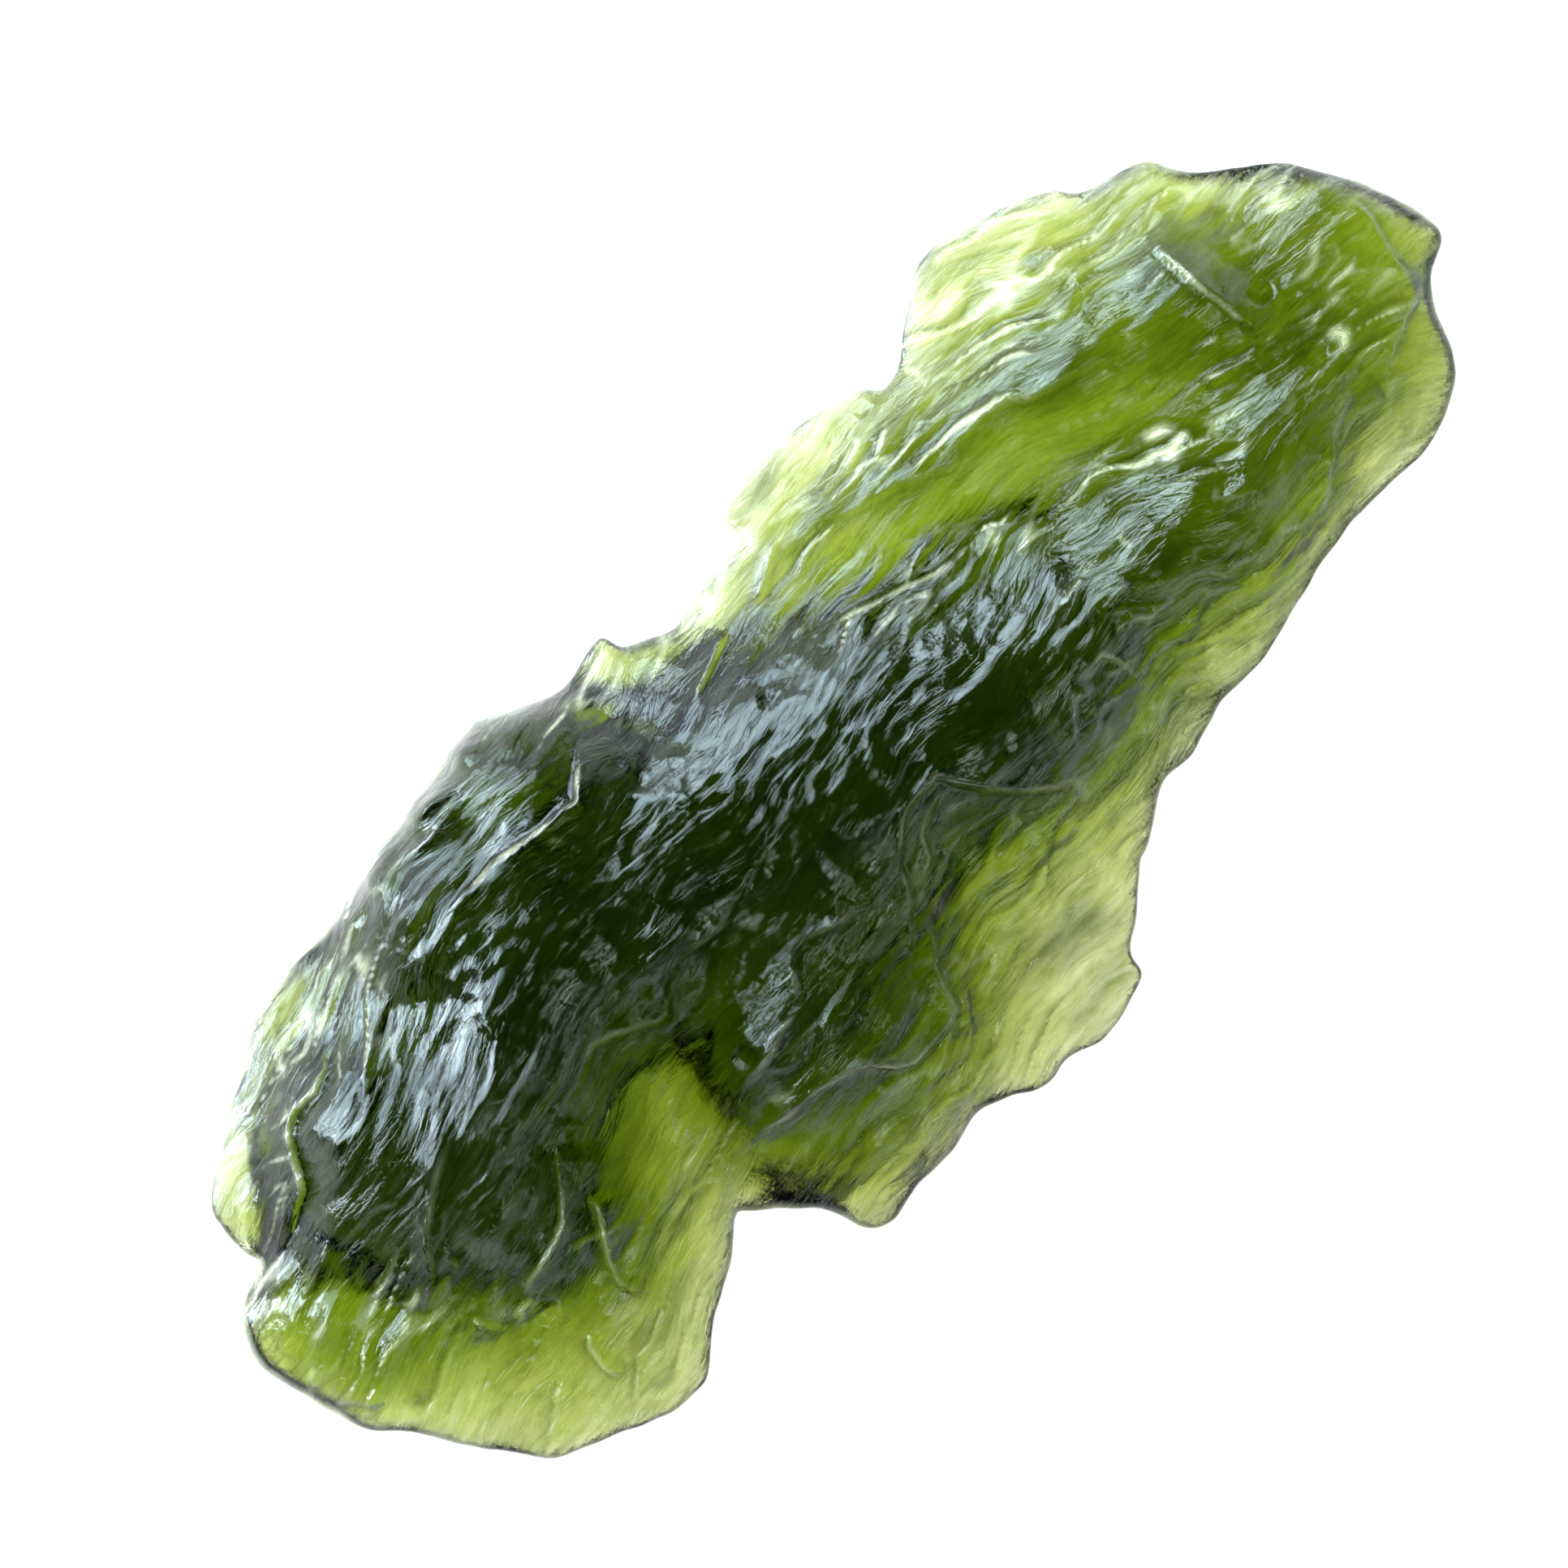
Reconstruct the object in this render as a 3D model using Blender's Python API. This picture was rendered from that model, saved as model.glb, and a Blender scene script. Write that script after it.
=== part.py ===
"""A raw moldavite: a long flattened drop of green natural glass, etched and crested, with a thin edge.

It lies on its back, with +X along its length, +Y across it and +Z up through its seen face.
The front and the back are two sheets of heights over one outline, joined along the stone's thin edge.
Each sheet is a smooth blank that passes through the listed heights, with hollows and ledges on it.
"""

import math

import bpy
import numpy as np
from mathutils import Vector, noise
from mathutils.geometry import delaunay_2d_cdt

MM = 0.001

# Driving dimensions, in millimetres
LENGTH = 36.3
EDGE_ROUNDING = 0.5
THINNEST = 0.36

# The front's listed heights are multiplied by this share
FRONT_RISE = 0.85

# The blank's height along the outline, and the least distance between the places that hold it there
EDGE_BLANK = 0.25
EDGE_SPACING = 1.3

# The back is worn flat below this height, which gives the face that the stone rests on
REST_LEVEL = 0.25

# Fineness of the facets, in millimetres
GRID_STEP = 0.53
GRID_JITTER = 0.15
OUTLINE_STEP = 0.5
EDGE_RINGS = (0.12, 0.36)

# Relief: the depth, length and width of the front's and the back's hollows, and the drop before a ledge
FRONT_HOLLOWS = (0.26, 3.2, 1.2)
BACK_HOLLOWS = (0.8, 2.2, 1.2)
LEDGE_DROP = 0.3

# The hollows of the back deepen between these two heights of the back below the edge's plane
HOLLOWS_FROM, HOLLOWS_FULL = 0.8, 2.0

# The part of the back that stays unhollowed, to rest on: its middle and its half length and half width
REST_MIDDLE = (-3.4, 0.9)
REST_HALF_SIZE = (3.4, 1.6)

# How far each point is moved towards the mean of its neighbours, to soften the facets
SOFTENING = 0.25

# The relief fades in between these heights above the edge's plane, and over this distance from the outline
RELIEF_FROM, RELIEF_FULL = 0.1, 0.6
RELIEF_MARGIN = 0.5

# The outline anticlockwise from the right-hand tip, in millimetres of a stone DRAWN_LENGTH long
DRAWN_LENGTH = 36.3
OUTLINE = [
    (18.12, -1.3), (17.95, -0.4), (17.75, 0.3), (17.4, 1.05), (17.0, 1.85), (16.2, 2.65), (15.7, 3.1),
    (15.35, 3.6), (15.1, 4.2), (14.6, 4.48), (13.6, 4.9), (13.2, 5.4), (12.4, 5.95), (11.5, 6.3),
    (10.6, 6.62), (9.8, 6.55), (8.9, 6.05), (8.1, 5.55), (7.4, 5.48), (7.1, 5.8), (6.5, 6.12),
    (5.0, 6.45), (3.6, 6.53), (3.0, 6.42), (2.86, 6.1), (2.75, 5.75), (1.5, 5.72), (0.4, 5.58),
    (-0.3, 5.95), (-0.7, 6.2), (-0.8, 6.65), (-1.1, 6.72), (-2.2, 6.62), (-3.1, 7.05), (-3.9, 7.57),
    (-4.5, 7.66), (-6.4, 7.57), (-8.2, 7.42), (-9.2, 7.22), (-10.0, 7.18), (-11.5, 7.3), (-12.4, 7.07),
    (-13.3, 6.6), (-14.6, 6.15), (-16.0, 5.3), (-16.32, 4.7), (-16.42, 4.0), (-16.38, 3.62),
    (-16.7, 3.45), (-17.5, 3.18), (-17.85, 2.75), (-18.12, 2.1), (-18.05, 1.3), (-17.85, 0.1),
    (-17.65, -0.7), (-17.1, -1.4), (-16.6, -2.4), (-15.9, -3.6), (-15.4, -4.3), (-14.2, -4.95),
    (-13.1, -5.55), (-12.2, -5.7), (-11.7, -5.55), (-10.9, -5.0), (-9.6, -4.4), (-8.8, -3.88),
    (-8.45, -4.05), (-7.5, -5.1), (-7.25, -5.7), (-7.1, -6.3), (-6.6, -6.6), (-5.6, -6.52),
    (-4.6, -6.62), (-3.6, -6.48), (-2.9, -6.8), (-2.1, -7.28), (-1.3, -7.27), (-0.5, -7.62),
    (0.6, -7.5), (1.15, -7.3), (1.4, -6.8), (2.3, -6.25), (3.0, -5.7), (3.5, -5.55), (4.7, -4.93),
    (5.6, -5.03), (6.9, -4.78), (8.3, -4.86), (9.6, -4.65), (11.5, -4.43), (12.9, -4.5), (14.1, -4.65),
    (15.4, -4.35), (16.2, -3.75), (16.65, -2.9), (17.2, -2.25), (18.0, -1.9),
]

# Height of the thin edge above the floor: x, y, height
EDGE_HEIGHTS = [
    (-17.5, 1.5, 2.7), (-15.0, 5.6, 2.5), (-8.0, 7.2, 2.9), (-1.0, 6.2, 3.2), (5.0, 6.2, 2.9),
    (11.0, 6.2, 2.6), (17.0, 1.0, 2.7), (16.5, -3.0, 2.5), (9.0, -4.7, 3.0), (3.0, -5.6, 2.6),
    (-1.0, -7.2, 2.3), (-6.5, -6.2, 2.6), (-9.0, -4.1, 2.9), (-13.0, -5.3, 2.5),
]

# How far the front stands above the edge's plane: x, y, height
FRONT_HEIGHTS = [
    # Left tip, the two smooth hollows below it and the yellow lobe
    (-17.2, 2.3, 0.9), (-16.2, 1.6, 1.6), (-17.2, -0.3, 0.7), (-15.4, 1.3, 1.5), (-15.5, 0.1, 1.7),
    (-15.0, -1.2, 1.0), (-15.0, -2.8, 0.6), (-13.8, -3.6, 0.7), (-13.2, -1.8, 1.5), (-12.0, -4.8, 0.4),
    (-11.8, -2.7, 1.3), (-13.4, 0.5, 2.4),
    # Dark facet, the thin flange beyond it and the pale slopes up to the ridge
    (-15.4, 2.5, 2.2), (-13.7, 3.0, 3.3), (-13.2, 4.4, 3.3), (-11.9, 4.4, 3.4), (-14.9, 4.9, 0.6),
    (-13.6, 5.9, 0.5), (-11.8, 6.1, 0.9), (-12.2, 1.7, 3.7), (-12.2, -0.1, 3.4), (-10.8, 0.6, 3.6),
    (-10.2, 1.8, 4.3), (-10.2, 3.6, 3.4), (-9.6, 5.6, 2.5), (-9.4, 6.8, 1.6),
    # High middle and the long slope towards the light
    (-8.0, 4.3, 4.4), (-8.4, 6.6, 2.7), (-6.0, 4.9, 4.3), (-6.0, 6.1, 3.3), (-6.0, 7.1, 2.7),
    (-3.8, 4.8, 4.0), (-3.8, 6.7, 2.8), (-9.3, 7.15, 1.3), (-8.0, 7.35, 1.9), (-6.4, 7.5, 2.2),
    (-4.8, 7.55, 2.2), (-3.5, 7.1, 1.8), (-7.8, 2.0, 4.6), (-5.0, 3.2, 4.6), (-4.5, 1.2, 4.5),
    (-2.2, 2.8, 4.2), (-1.9, 4.6, 2.3), (-1.6, 5.8, 1.0), (0.2, 1.2, 4.3), (0.0, 2.9, 3.4),
    (0.5, 4.2, 1.5), (0.5, 5.2, 0.45), (2.2, 0.4, 4.0), (2.2, 1.9, 3.2), (-0.5, -0.5, 4.3),
    (2.6, -1.2, 4.0),
    # Slope of flow lines, the plateau and the olive face under it
    (-10.4, -1.0, 2.1), (-9.2, 0.2, 2.3), (-9.3, -1.6, 1.4), (-8.6, -2.8, 1.1), (-7.3, -0.6, 0.9),
    (-5.2, -0.2, 2.6), (-3.2, 0.0, 3.6), (-5.6, -1.6, 3.5), (-3.2, -1.9, 3.4), (-3.0, -3.3, 2.9),
    (-6.6, -3.6, 1.5), (-6.4, -5.0, 0.9), (-4.6, -5.3, 1.2), (-2.4, -5.2, 1.0), (-8.3, -3.5, 0.4),
    (-7.0, -5.7, 0.35), (-5.7, -6.3, 0.35), (-4.5, -6.4, 0.35),
    # Thin fan on the lower side
    (0.4, -2.2, 1.7), (0.5, -3.4, 0.9), (0.0, -5.0, 0.6), (0.2, -6.4, 0.25), (-2.6, -6.4, 0.3),
    (2.6, -3.6, 1.0), (2.6, -4.9, 0.5),
    # Thin yellow trough, the ridge above it and the pale rim
    (2.4, 3.6, 1.2), (5.0, 3.0, 1.0), (7.0, 2.3, 1.0), (8.6, 1.7, 1.1), (10.4, 1.0, 1.2),
    (12.0, 0.0, 1.3), (3.8, 4.6, 0.9), (6.2, 3.9, 1.5), (8.4, 3.2, 1.7), (10.2, 2.4, 2.3),
    (5.0, 5.2, 0.6), (5.0, 6.1, 0.3), (9.0, 4.1, 1.0), (9.0, 5.4, 0.35), (11.0, 4.7, 0.7),
    (10.8, 6.0, 0.3), (11.2, 3.6, 1.6),
    # Striped slope towards the light and the scalloped side behind its crest
    (4.2, 1.6, 2.4), (6.2, 1.2, 1.9), (4.8, 0.2, 3.1), (7.0, -0.4, 2.7), (9.2, -0.6, 2.3),
    (5.4, -1.7, 3.5), (8.2, -2.0, 3.1), (10.8, -2.2, 2.7), (12.8, -2.0, 2.3), (5.6, -3.2, 1.2),
    (8.0, -3.4, 0.9), (8.2, -4.2, 0.5), (11.2, -3.5, 0.8), (13.4, -3.4, 0.7), (13.4, -4.1, 0.35),
    # Straight cross ridge and the thin right end
    (13.5, 1.2, 2.6), (13.4, 2.6, 2.0), (12.3, 2.9, 1.7), (12.3, 1.7, 2.3), (12.6, 4.2, 0.6),
    (14.4, 1.0, 1.7), (14.6, 3.0, 0.7), (15.5, 2.0, 0.6), (15.5, 0.6, 1.5), (15.2, -0.8, 1.5),
    (15.0, -1.8, 1.6), (17.2, 0.0, 1.1), (16.9, 1.4, 0.8), (16.2, -3.1, 0.6), (16.6, -1.8, 0.8),
]

# How far the back reaches below the edge's plane
BACK_HEIGHTS = [
    (-17.0, 1.5, 0.7), (-15.0, 0.4, 1.0), (-15.0, -2.8, 0.45), (-13.8, 3.0, 2.4), (-14.8, 5.0, 0.4),
    (-12.0, 1.0, 2.8), (-12.0, -4.8, 0.3), (-11.6, 6.0, 0.6), (-9.5, -2.0, 0.7), (-8.5, 2.2, 2.8),
    (-6.0, 5.0, 2.3), (-6.0, 6.6, 1.6), (-6.2, -4.2, 1.2), (-4.5, 1.5, 3.1), (-3.0, -3.4, 1.7),
    (-1.5, 5.0, 0.7), (-1.0, 1.6, 3.1), (0.0, -0.4, 3.0), (0.5, -3.2, 0.7), (0.2, -6.2, 0.2),
    (1.0, 4.8, 0.3), (2.6, -4.6, 0.4), (4.0, 0.0, 2.7), (5.0, 3.2, 1.1), (5.0, 5.5, 0.2),
    (7.5, -1.4, 1.6), (8.0, -4.0, 0.4), (8.8, 1.8, 1.1), (9.0, 4.9, 0.25), (11.6, -1.0, 1.4),
    (11.8, 0.8, 1.1), (12.2, 3.2, 0.6), (13.0, -3.8, 0.3), (14.4, 0.4, 1.3), (16.2, -3.1, 0.35),
    (17.2, 0.2, 0.6), (-7.6, -0.8, 1.2), (-13.0, -2.0, 0.9),
]

# How much noise shifts the forms, as its size and amount, so that their borders are uneven
WARP_SCALES = ((2.3, 0.22), (0.9, 0.10))
OUTLINE_RIPPLE = (0.55, 0.035)

# The flow lines bend by noise of these sizes and amounts, and curve towards the stone's two ends
FLOW_BENDS = ((5.0, 0.5), (1.6, 0.16))
FLOW_CURVE_FROM = 2.0
FLOW_CURVE_RIGHT, FLOW_CURVE_LEFT = 0.012, 0.0042

# Layers of noise, one for each use, so that no two forms repeat each other
FRONT_LAYER, BACK_LAYER = 72, 99
FRONT_WARP_LAYER, BACK_WARP_LAYER, LEDGE_WARP_LAYER = 0, 20, 30
OUTLINE_LAYER, GRID_LAYER, FLOW_LAYER = 40, 50, 60

# Ledges: sharp rims with a gentle slope behind them and a short drop before them.
# Each is a rim height, a length of slope, and its line. The slope lies on the line's left side.
LEDGES = [
    # Left end
    (0.22, 0.8, [
        (-15.5, 3.45), (-14.9, 3.7), (-14.4, 4.0), (-14.0, 4.5), (-13.6, 4.95), (-13.1, 5.15),
        (-12.6, 5.0), (-12.0, 5.1), (-11.5, 5.45),
    ]),
    (0.30, 0.9, [
        (-14.8, 0.1), (-14.0, 0.5), (-13.2, 1.05), (-12.4, 1.6), (-11.9, 1.9), (-11.3, 2.2),
    ]),
    (0.28, 0.7, [
        (-9.9, 0.3), (-10.2, 0.1), (-10.6, -0.3), (-11.2, -0.9), (-12.0, -1.2), (-12.9, -1.4),
    ]),
    (0.30, 0.7, [
        (-10.4, -0.9), (-10.5, -1.2), (-10.9, -1.7), (-11.2, -2.2), (-11.4, -2.8), (-11.3, -3.3),
        (-11.0, -3.9),
    ]),
    # Ridge between the dark pitted middle and the slope of flow lines
    (0.30, 0.8, [
        (-10.0, 0.0), (-9.2, 0.6), (-8.5, 0.85), (-7.9, 1.05), (-7.3, 0.9), (-6.9, 0.6), (-6.5, 0.2),
        (-6.2, 0.05), (-5.7, 0.5), (-5.2, 0.65), (-4.6, 0.65), (-4.1, 0.45), (-3.4, 0.6), (-2.5, 0.85),
        (-1.8, 0.9),
    ]),
    # Bright ledges across the lower middle
    (0.30, 0.9, [
        (-7.5, -2.95), (-6.9, -3.05), (-6.3, -3.2), (-5.6, -3.25), (-5.0, -3.45), (-4.5, -3.65),
        (-4.1, -4.2), (-3.8, -4.5), (-3.5, -4.65), (-2.8, -4.6), (-2.1, -4.55), (-1.8, -3.9),
        (-1.3, -3.3), (-0.9, -2.6),
    ]),
    (0.45, 1.0, [
        (-1.9, -3.1), (-1.4, -2.6), (-0.9, -2.3), (-0.5, -1.7), (0.0, -1.3), (0.5, -1.0), (0.9, -0.95),
        (1.3, -1.05), (1.6, -1.0), (1.8, -1.5), (2.1, -2.1), (2.5, -2.6), (3.0, -3.0), (3.4, -3.2),
        (4.2, -3.5),
    ]),
    (0.22, 0.6, [
        (-4.4, -1.8), (-4.1, -1.5), (-3.8, -1.15), (-3.4, -1.0), (-3.0, -1.05), (-2.6, -1.2),
        (-2.0, -1.3), (-1.5, -1.5),
    ]),
    (0.20, 0.6, [
        (-6.8, -2.05), (-6.0, -2.1), (-5.4, -2.0), (-4.8, -1.85), (-4.4, -1.8),
    ]),
    (0.20, 0.6, [
        (0.9, -4.8), (1.2, -4.4), (1.8, -3.9), (2.5, -3.6), (3.2, -3.5), (3.6, -3.7),
    ]),
    # Shingle-like scallops on the lower side of the right half
    (0.22, 0.5, [
        (6.3, -2.1), (6.9, -2.0), (7.2, -2.4), (7.9, -2.5), (8.6, -2.6), (9.2, -3.1), (9.5, -3.3),
    ]),
    (0.22, 0.5, [
        (9.0, -2.6), (9.4, -3.1), (9.9, -3.3), (10.5, -3.3), (11.0, -3.5), (11.6, -3.7), (12.0, -3.4),
        (12.4, -3.1), (12.9, -3.0), (13.6, -2.9), (14.1, -3.1), (14.5, -3.35),
    ]),
    (0.20, 0.7, [
        (14.9, -2.8), (15.4, -2.6), (16.0, -2.35), (16.6, -2.3), (17.0, -2.35),
    ]),
    # Edges of the yellow trough
    (0.30, 0.6, [
        (3.6, 4.6), (5.0, 4.2), (6.0, 3.9), (7.0, 3.2), (8.1, 3.3), (8.9, 3.1), (9.2, 2.8), (10.0, 2.5),
        (10.8, 2.1), (11.0, 1.4),
    ]),
    (0.30, 0.8, [
        (6.0, 1.8), (5.0, 2.0), (3.5, 2.5), (2.5, 2.9),
    ]),
    # Straight cross ridge near the right end
    (0.35, 0.9, [
        (13.5, 3.2), (13.5, 2.0), (13.6, 1.0), (13.6, 0.2), (13.5, -0.5),
    ]),
    (0.20, 0.5, [
        (13.4, -0.5), (12.9, -0.3), (12.3, 0.0), (12.0, 0.2),
    ]),
    # Lower edge of the pale slope along the upper left side, and streaks beside it
    (0.25, 0.8, [
        (-2.5, 5.9), (-3.3, 5.2), (-3.8, 4.8), (-4.2, 4.9), (-5.2, 5.0), (-6.2, 5.3), (-7.0, 5.3),
        (-8.0, 5.2),
    ]),
]


def smooth_closed_line(points, step):
    """Points about step apart on a smooth closed curve through the given ones."""
    points = np.array(points, float)
    made = []
    for i in range(len(points)):
        a, b, c, d = (points[(i + k) % len(points)] for k in (-1, 0, 1, 2))
        count = max(1, round(np.linalg.norm(c - b) / step))
        for t in np.arange(count) / count:
            bend, twist = 2 * a - 5 * b + 4 * c - d, 3 * b - a - 3 * c + d
            made.append(0.5 * (2 * b + (c - a) * t + bend * t**2 + twist * t**3))
    return np.array(made)


def distance_to_outline(points, outline):
    """Distance of each point to the closed outline of straight runs."""
    runs = np.roll(outline, -1, axis=0) - outline
    best = np.full(len(points), np.inf)
    for start, run in zip(outline, runs):
        share = np.clip((points - start) @ run / (run @ run), 0, 1)
        away = np.linalg.norm(points - start - share[:, None] * run, axis=1)
        best = np.minimum(best, away)
    return best


def inside(points, outline):
    """Which points lie inside the closed outline."""
    x, y = points[:, 0], points[:, 1]
    crossings = np.zeros(len(points), int)
    for (x0, y0), (x1, y1) in zip(outline, np.roll(outline, -1, axis=0)):
        between = (y0 > y) != (y1 > y)
        if y0 != y1:
            crossings += between & (x < x0 + (y - y0) * (x1 - x0) / (y1 - y0))
    return crossings % 2 == 1


def noise_at(points, scale, layer):
    """Smooth noise from -1 to 1 at each point, with features about scale wide. Each layer differs."""
    return np.array([noise.noise(Vector((x / scale, y / scale, layer * 7.3))) for x, y in points])


def warped(points, layer):
    """The points shifted a little by noise, so that the forms there get uneven borders."""
    moved = points.copy()
    for k, (scale, amount) in enumerate(WARP_SCALES):
        moved[:, 0] += amount * noise_at(points, scale, layer + 2 * k)
        moved[:, 1] += amount * noise_at(points, scale, layer + 2 * k + 1)
    return moved


def edge_height(points):
    """Height of the plane in which the stone's edge lies, which wanders up and down along the outline."""
    spots = np.array(EDGE_HEIGHTS)
    away = np.linalg.norm(points[:, None, :] - spots[None, :, :2], axis=2)
    weight = 1 / (away**2 + 4)
    return weight @ spots[:, 2] / weight.sum(1)


def bent_sheet(spots):
    """The weights of a thin bent plate that passes through these spots: x, y, height."""
    spots = np.array(spots, float)
    away = np.linalg.norm(spots[:, None, :2] - spots[None, :, :2], axis=2)
    plane = np.column_stack([np.ones(len(spots)), spots[:, :2]])
    rows = np.block([[plate_bend(away), plane], [plane.T, np.zeros((3, 3))]])
    weights = np.linalg.solve(rows, np.concatenate([spots[:, 2], np.zeros(3)]))
    return spots[:, :2], weights


def plate_bend(distance):
    """How a thin plate bends at a distance from a load."""
    return distance**2 * np.log(np.maximum(distance, 1e-9))


def sheet_at(points, sheet):
    """Height of a bent sheet at each point."""
    spots, weights = sheet
    away = np.linalg.norm(points[:, None, :] - spots[None], axis=2)
    plane = np.column_stack([np.ones(len(points)), points])
    return plate_bend(away) @ weights[:-3] + plane @ weights[-3:]


def blank_sheet(heights, outline):
    """The bent sheet through the listed heights, held low all round the outline."""
    spots = list(heights)
    listed = np.array(heights)[:, :2]
    last = None
    for x, y in outline:
        if last is not None and math.hypot(x - last[0], y - last[1]) < EDGE_SPACING:
            continue
        if np.linalg.norm(listed - (x, y), axis=1).min() < 0.45 * EDGE_SPACING:
            continue
        spots.append((x, y, EDGE_BLANK))
        last = (x, y)
    return bent_sheet(spots)


def sheet_offset(points, to_edge, blank):
    """How far a sheet without relief stands off the edge's plane, rounded off at the edge."""
    rounding = np.sqrt(1 - (1 - np.clip(to_edge / EDGE_ROUNDING, 0, 1)) ** 2)
    return np.maximum(sheet_at(points, blank), THINNEST / 2) * rounding


def softened(values, faces, fixed):
    """The values moved towards the means of their neighbours, except the first ones, which are fixed."""
    corners = np.array(faces)
    pairs = np.vstack([corners[:, (0, 1)], corners[:, (1, 2)], corners[:, (2, 0)]])
    pairs = np.vstack([pairs, pairs[:, ::-1]])
    total = np.zeros(len(values))
    count = np.zeros(len(values))
    np.add.at(total, pairs[:, 0], values[pairs[:, 1]])
    np.add.at(count, pairs[:, 0], 1)
    mean = total / np.maximum(count, 1)
    values[fixed:] += SOFTENING * (mean - values)[fixed:]
    return values


def beside_line(points, line):
    """Distance of each point to an open line, its side of it, and its place along it from 0 to 1."""
    starts, runs = line[:-1], np.diff(line, axis=0)
    best = np.full(len(points), np.inf)
    side = np.zeros(len(points))
    place = np.zeros(len(points))
    for i, (start, run) in enumerate(zip(starts, runs)):
        away = points - start
        share = np.clip(away @ run / (run @ run), 0, 1)
        distance = np.linalg.norm(away - share[:, None] * run, axis=1)
        nearer = distance < best
        best[nearer] = distance[nearer]
        side[nearer] = (run[0] * away[:, 1] - run[1] * away[:, 0])[nearer]
        place[nearer] = (i + share)[nearer] / len(runs)
    return best, side, place


def ledge_relief(points):
    """Height that the ledges add at each point. Each ledge fades out at its two ends."""
    total = np.zeros(len(points))
    for height, slope, line in LEDGES:
        line = np.array(line, float)
        reach = 4 * slope
        near = np.all((points > line.min(0) - reach) & (points < line.max(0) + reach), axis=1)
        distance, side, place = beside_line(points[near], line)
        behind = np.exp(-distance / slope)
        before = np.clip(1 - distance / LEDGE_DROP, 0, 1) ** 2
        ends = np.clip(np.minimum(place, 1 - place) * 5 + 0.1, 0, 1)
        total[near] += height * ends * np.where(side > 0, behind, before)
    return total


def flow_coordinates(points):
    """Coordinates along and across the flow lines, which run along the stone and bend with it."""
    x, y = points[:, 0], points[:, 1]
    bend = np.zeros(len(points))
    for k, (scale, amount) in enumerate(FLOW_BENDS):
        bend += amount * noise_at(points, scale, FLOW_LAYER + k)
    curve = np.where(x > FLOW_CURVE_FROM, FLOW_CURVE_RIGHT, FLOW_CURVE_LEFT)
    across = y + curve * (x - FLOW_CURVE_FROM) ** 2 + bend
    return np.stack([x + 0.3 * bend, across], 1)


def hollows(flow, length, width, layer):
    """Heights in overlapping hollows of this length along the flow and width: 0 in a middle, 1 at a rim."""
    nearest = [noise.voronoi(Vector((a / length, b / width, 3.1 * layer)))[0][0] for a, b in flow]
    return np.clip(1.4 * np.array(nearest) ** 2, 0, 1)


def back_relief(points, offset, flow):
    """The hollows of the back, deepest where the stone is thick, but none where it rests."""
    depth, length, width = BACK_HOLLOWS
    deep = np.clip((offset - HOLLOWS_FROM) / (HOLLOWS_FULL - HOLLOWS_FROM), 0, 1)
    from_rest = np.linalg.norm((points - REST_MIDDLE) / REST_HALF_SIZE, axis=1)
    away = np.clip(3 * (from_rest - 1), 0, 1)
    return depth * deep * away * (hollows(flow, length, width, BACK_LAYER) - 1)


def front_relief(points, flow):
    """The hollows and the larger ledges of the front."""
    depth, length, width = FRONT_HOLLOWS
    ledges = ledge_relief(warped(points, LEDGE_WARP_LAYER))
    return depth * (hollows(flow, length, width, FRONT_LAYER) - 0.5) + ledges


def plan_points(outline):
    """Points of an uneven triangular grid well inside the outline."""
    rows = np.arange(outline[:, 1].min(), outline[:, 1].max(), GRID_STEP * math.sqrt(3) / 2)
    columns = np.arange(outline[:, 0].min(), outline[:, 0].max(), GRID_STEP)
    points = np.array([(x + (i % 2) * GRID_STEP / 2, y) for i, y in enumerate(rows) for x in columns])
    points[:, 0] += GRID_JITTER * noise_at(points, GRID_STEP * 0.7, GRID_LAYER)
    points[:, 1] += GRID_JITTER * noise_at(points, GRID_STEP * 0.7, GRID_LAYER + 1)
    points = points[inside(points, outline)]
    to_edge = distance_to_outline(points, outline)
    return points[to_edge > EDGE_RINGS[-1] + 0.45 * GRID_STEP]


def ring_points(outline, inset):
    """Points inset from the outline, leaving out those that crowd in its notches."""
    along = np.roll(outline, -1, axis=0) - np.roll(outline, 1, axis=0)
    inward = np.stack([-along[:, 1], along[:, 0]], 1) / np.linalg.norm(along, axis=1)[:, None]
    points = outline + inward * inset
    to_edge = distance_to_outline(points, outline)
    return points[(to_edge > 0.93 * inset) & inside(points, outline)]


def triangulated(outline, points):
    """Triangles between the points, of which the first ones are the outline in order."""
    everything = [Vector(p) for p in points]
    edges = [(i, (i + 1) % len(outline)) for i in range(len(outline))]
    found, _, faces, sources, _, _ = delaunay_2d_cdt(everything, edges, [], 1, 1e-6)
    if any(len(source) != 1 for source in sources):
        raise ValueError("two points of the plan lie on each other")
    order = [source[0] for source in sources]
    return [tuple(order[i] for i in face) for face in faces]


def sheet_points(outline, rings, grid, front):
    """Points, heights and triangles of the front or the back sheet."""
    points = np.vstack([outline, rings, grid])
    faces = triangulated(outline, points)
    to_edge = distance_to_outline(points, outline)
    blank = blank_sheet(FRONT_HEIGHTS if front else BACK_HEIGHTS, outline)
    moved = warped(points, FRONT_WARP_LAYER if front else BACK_WARP_LAYER)
    offset = sheet_offset(moved, to_edge, blank) * (FRONT_RISE if front else 1)
    inner = np.clip((offset - RELIEF_FROM) / (RELIEF_FULL - RELIEF_FROM), 0, 1)
    inner *= np.clip(to_edge / RELIEF_MARGIN, 0, 1)
    flow = flow_coordinates(points)
    relief = front_relief(points, flow) if front else back_relief(points, offset, flow)
    offset = np.maximum(offset + inner * relief, np.minimum(offset, THINNEST / 2))
    offset[: len(outline)] = 0
    offset = softened(offset, faces, len(outline))
    middle = edge_height(points)
    heights = middle + offset if front else np.maximum(middle - offset, REST_LEVEL)
    return points, heights, faces


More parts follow.
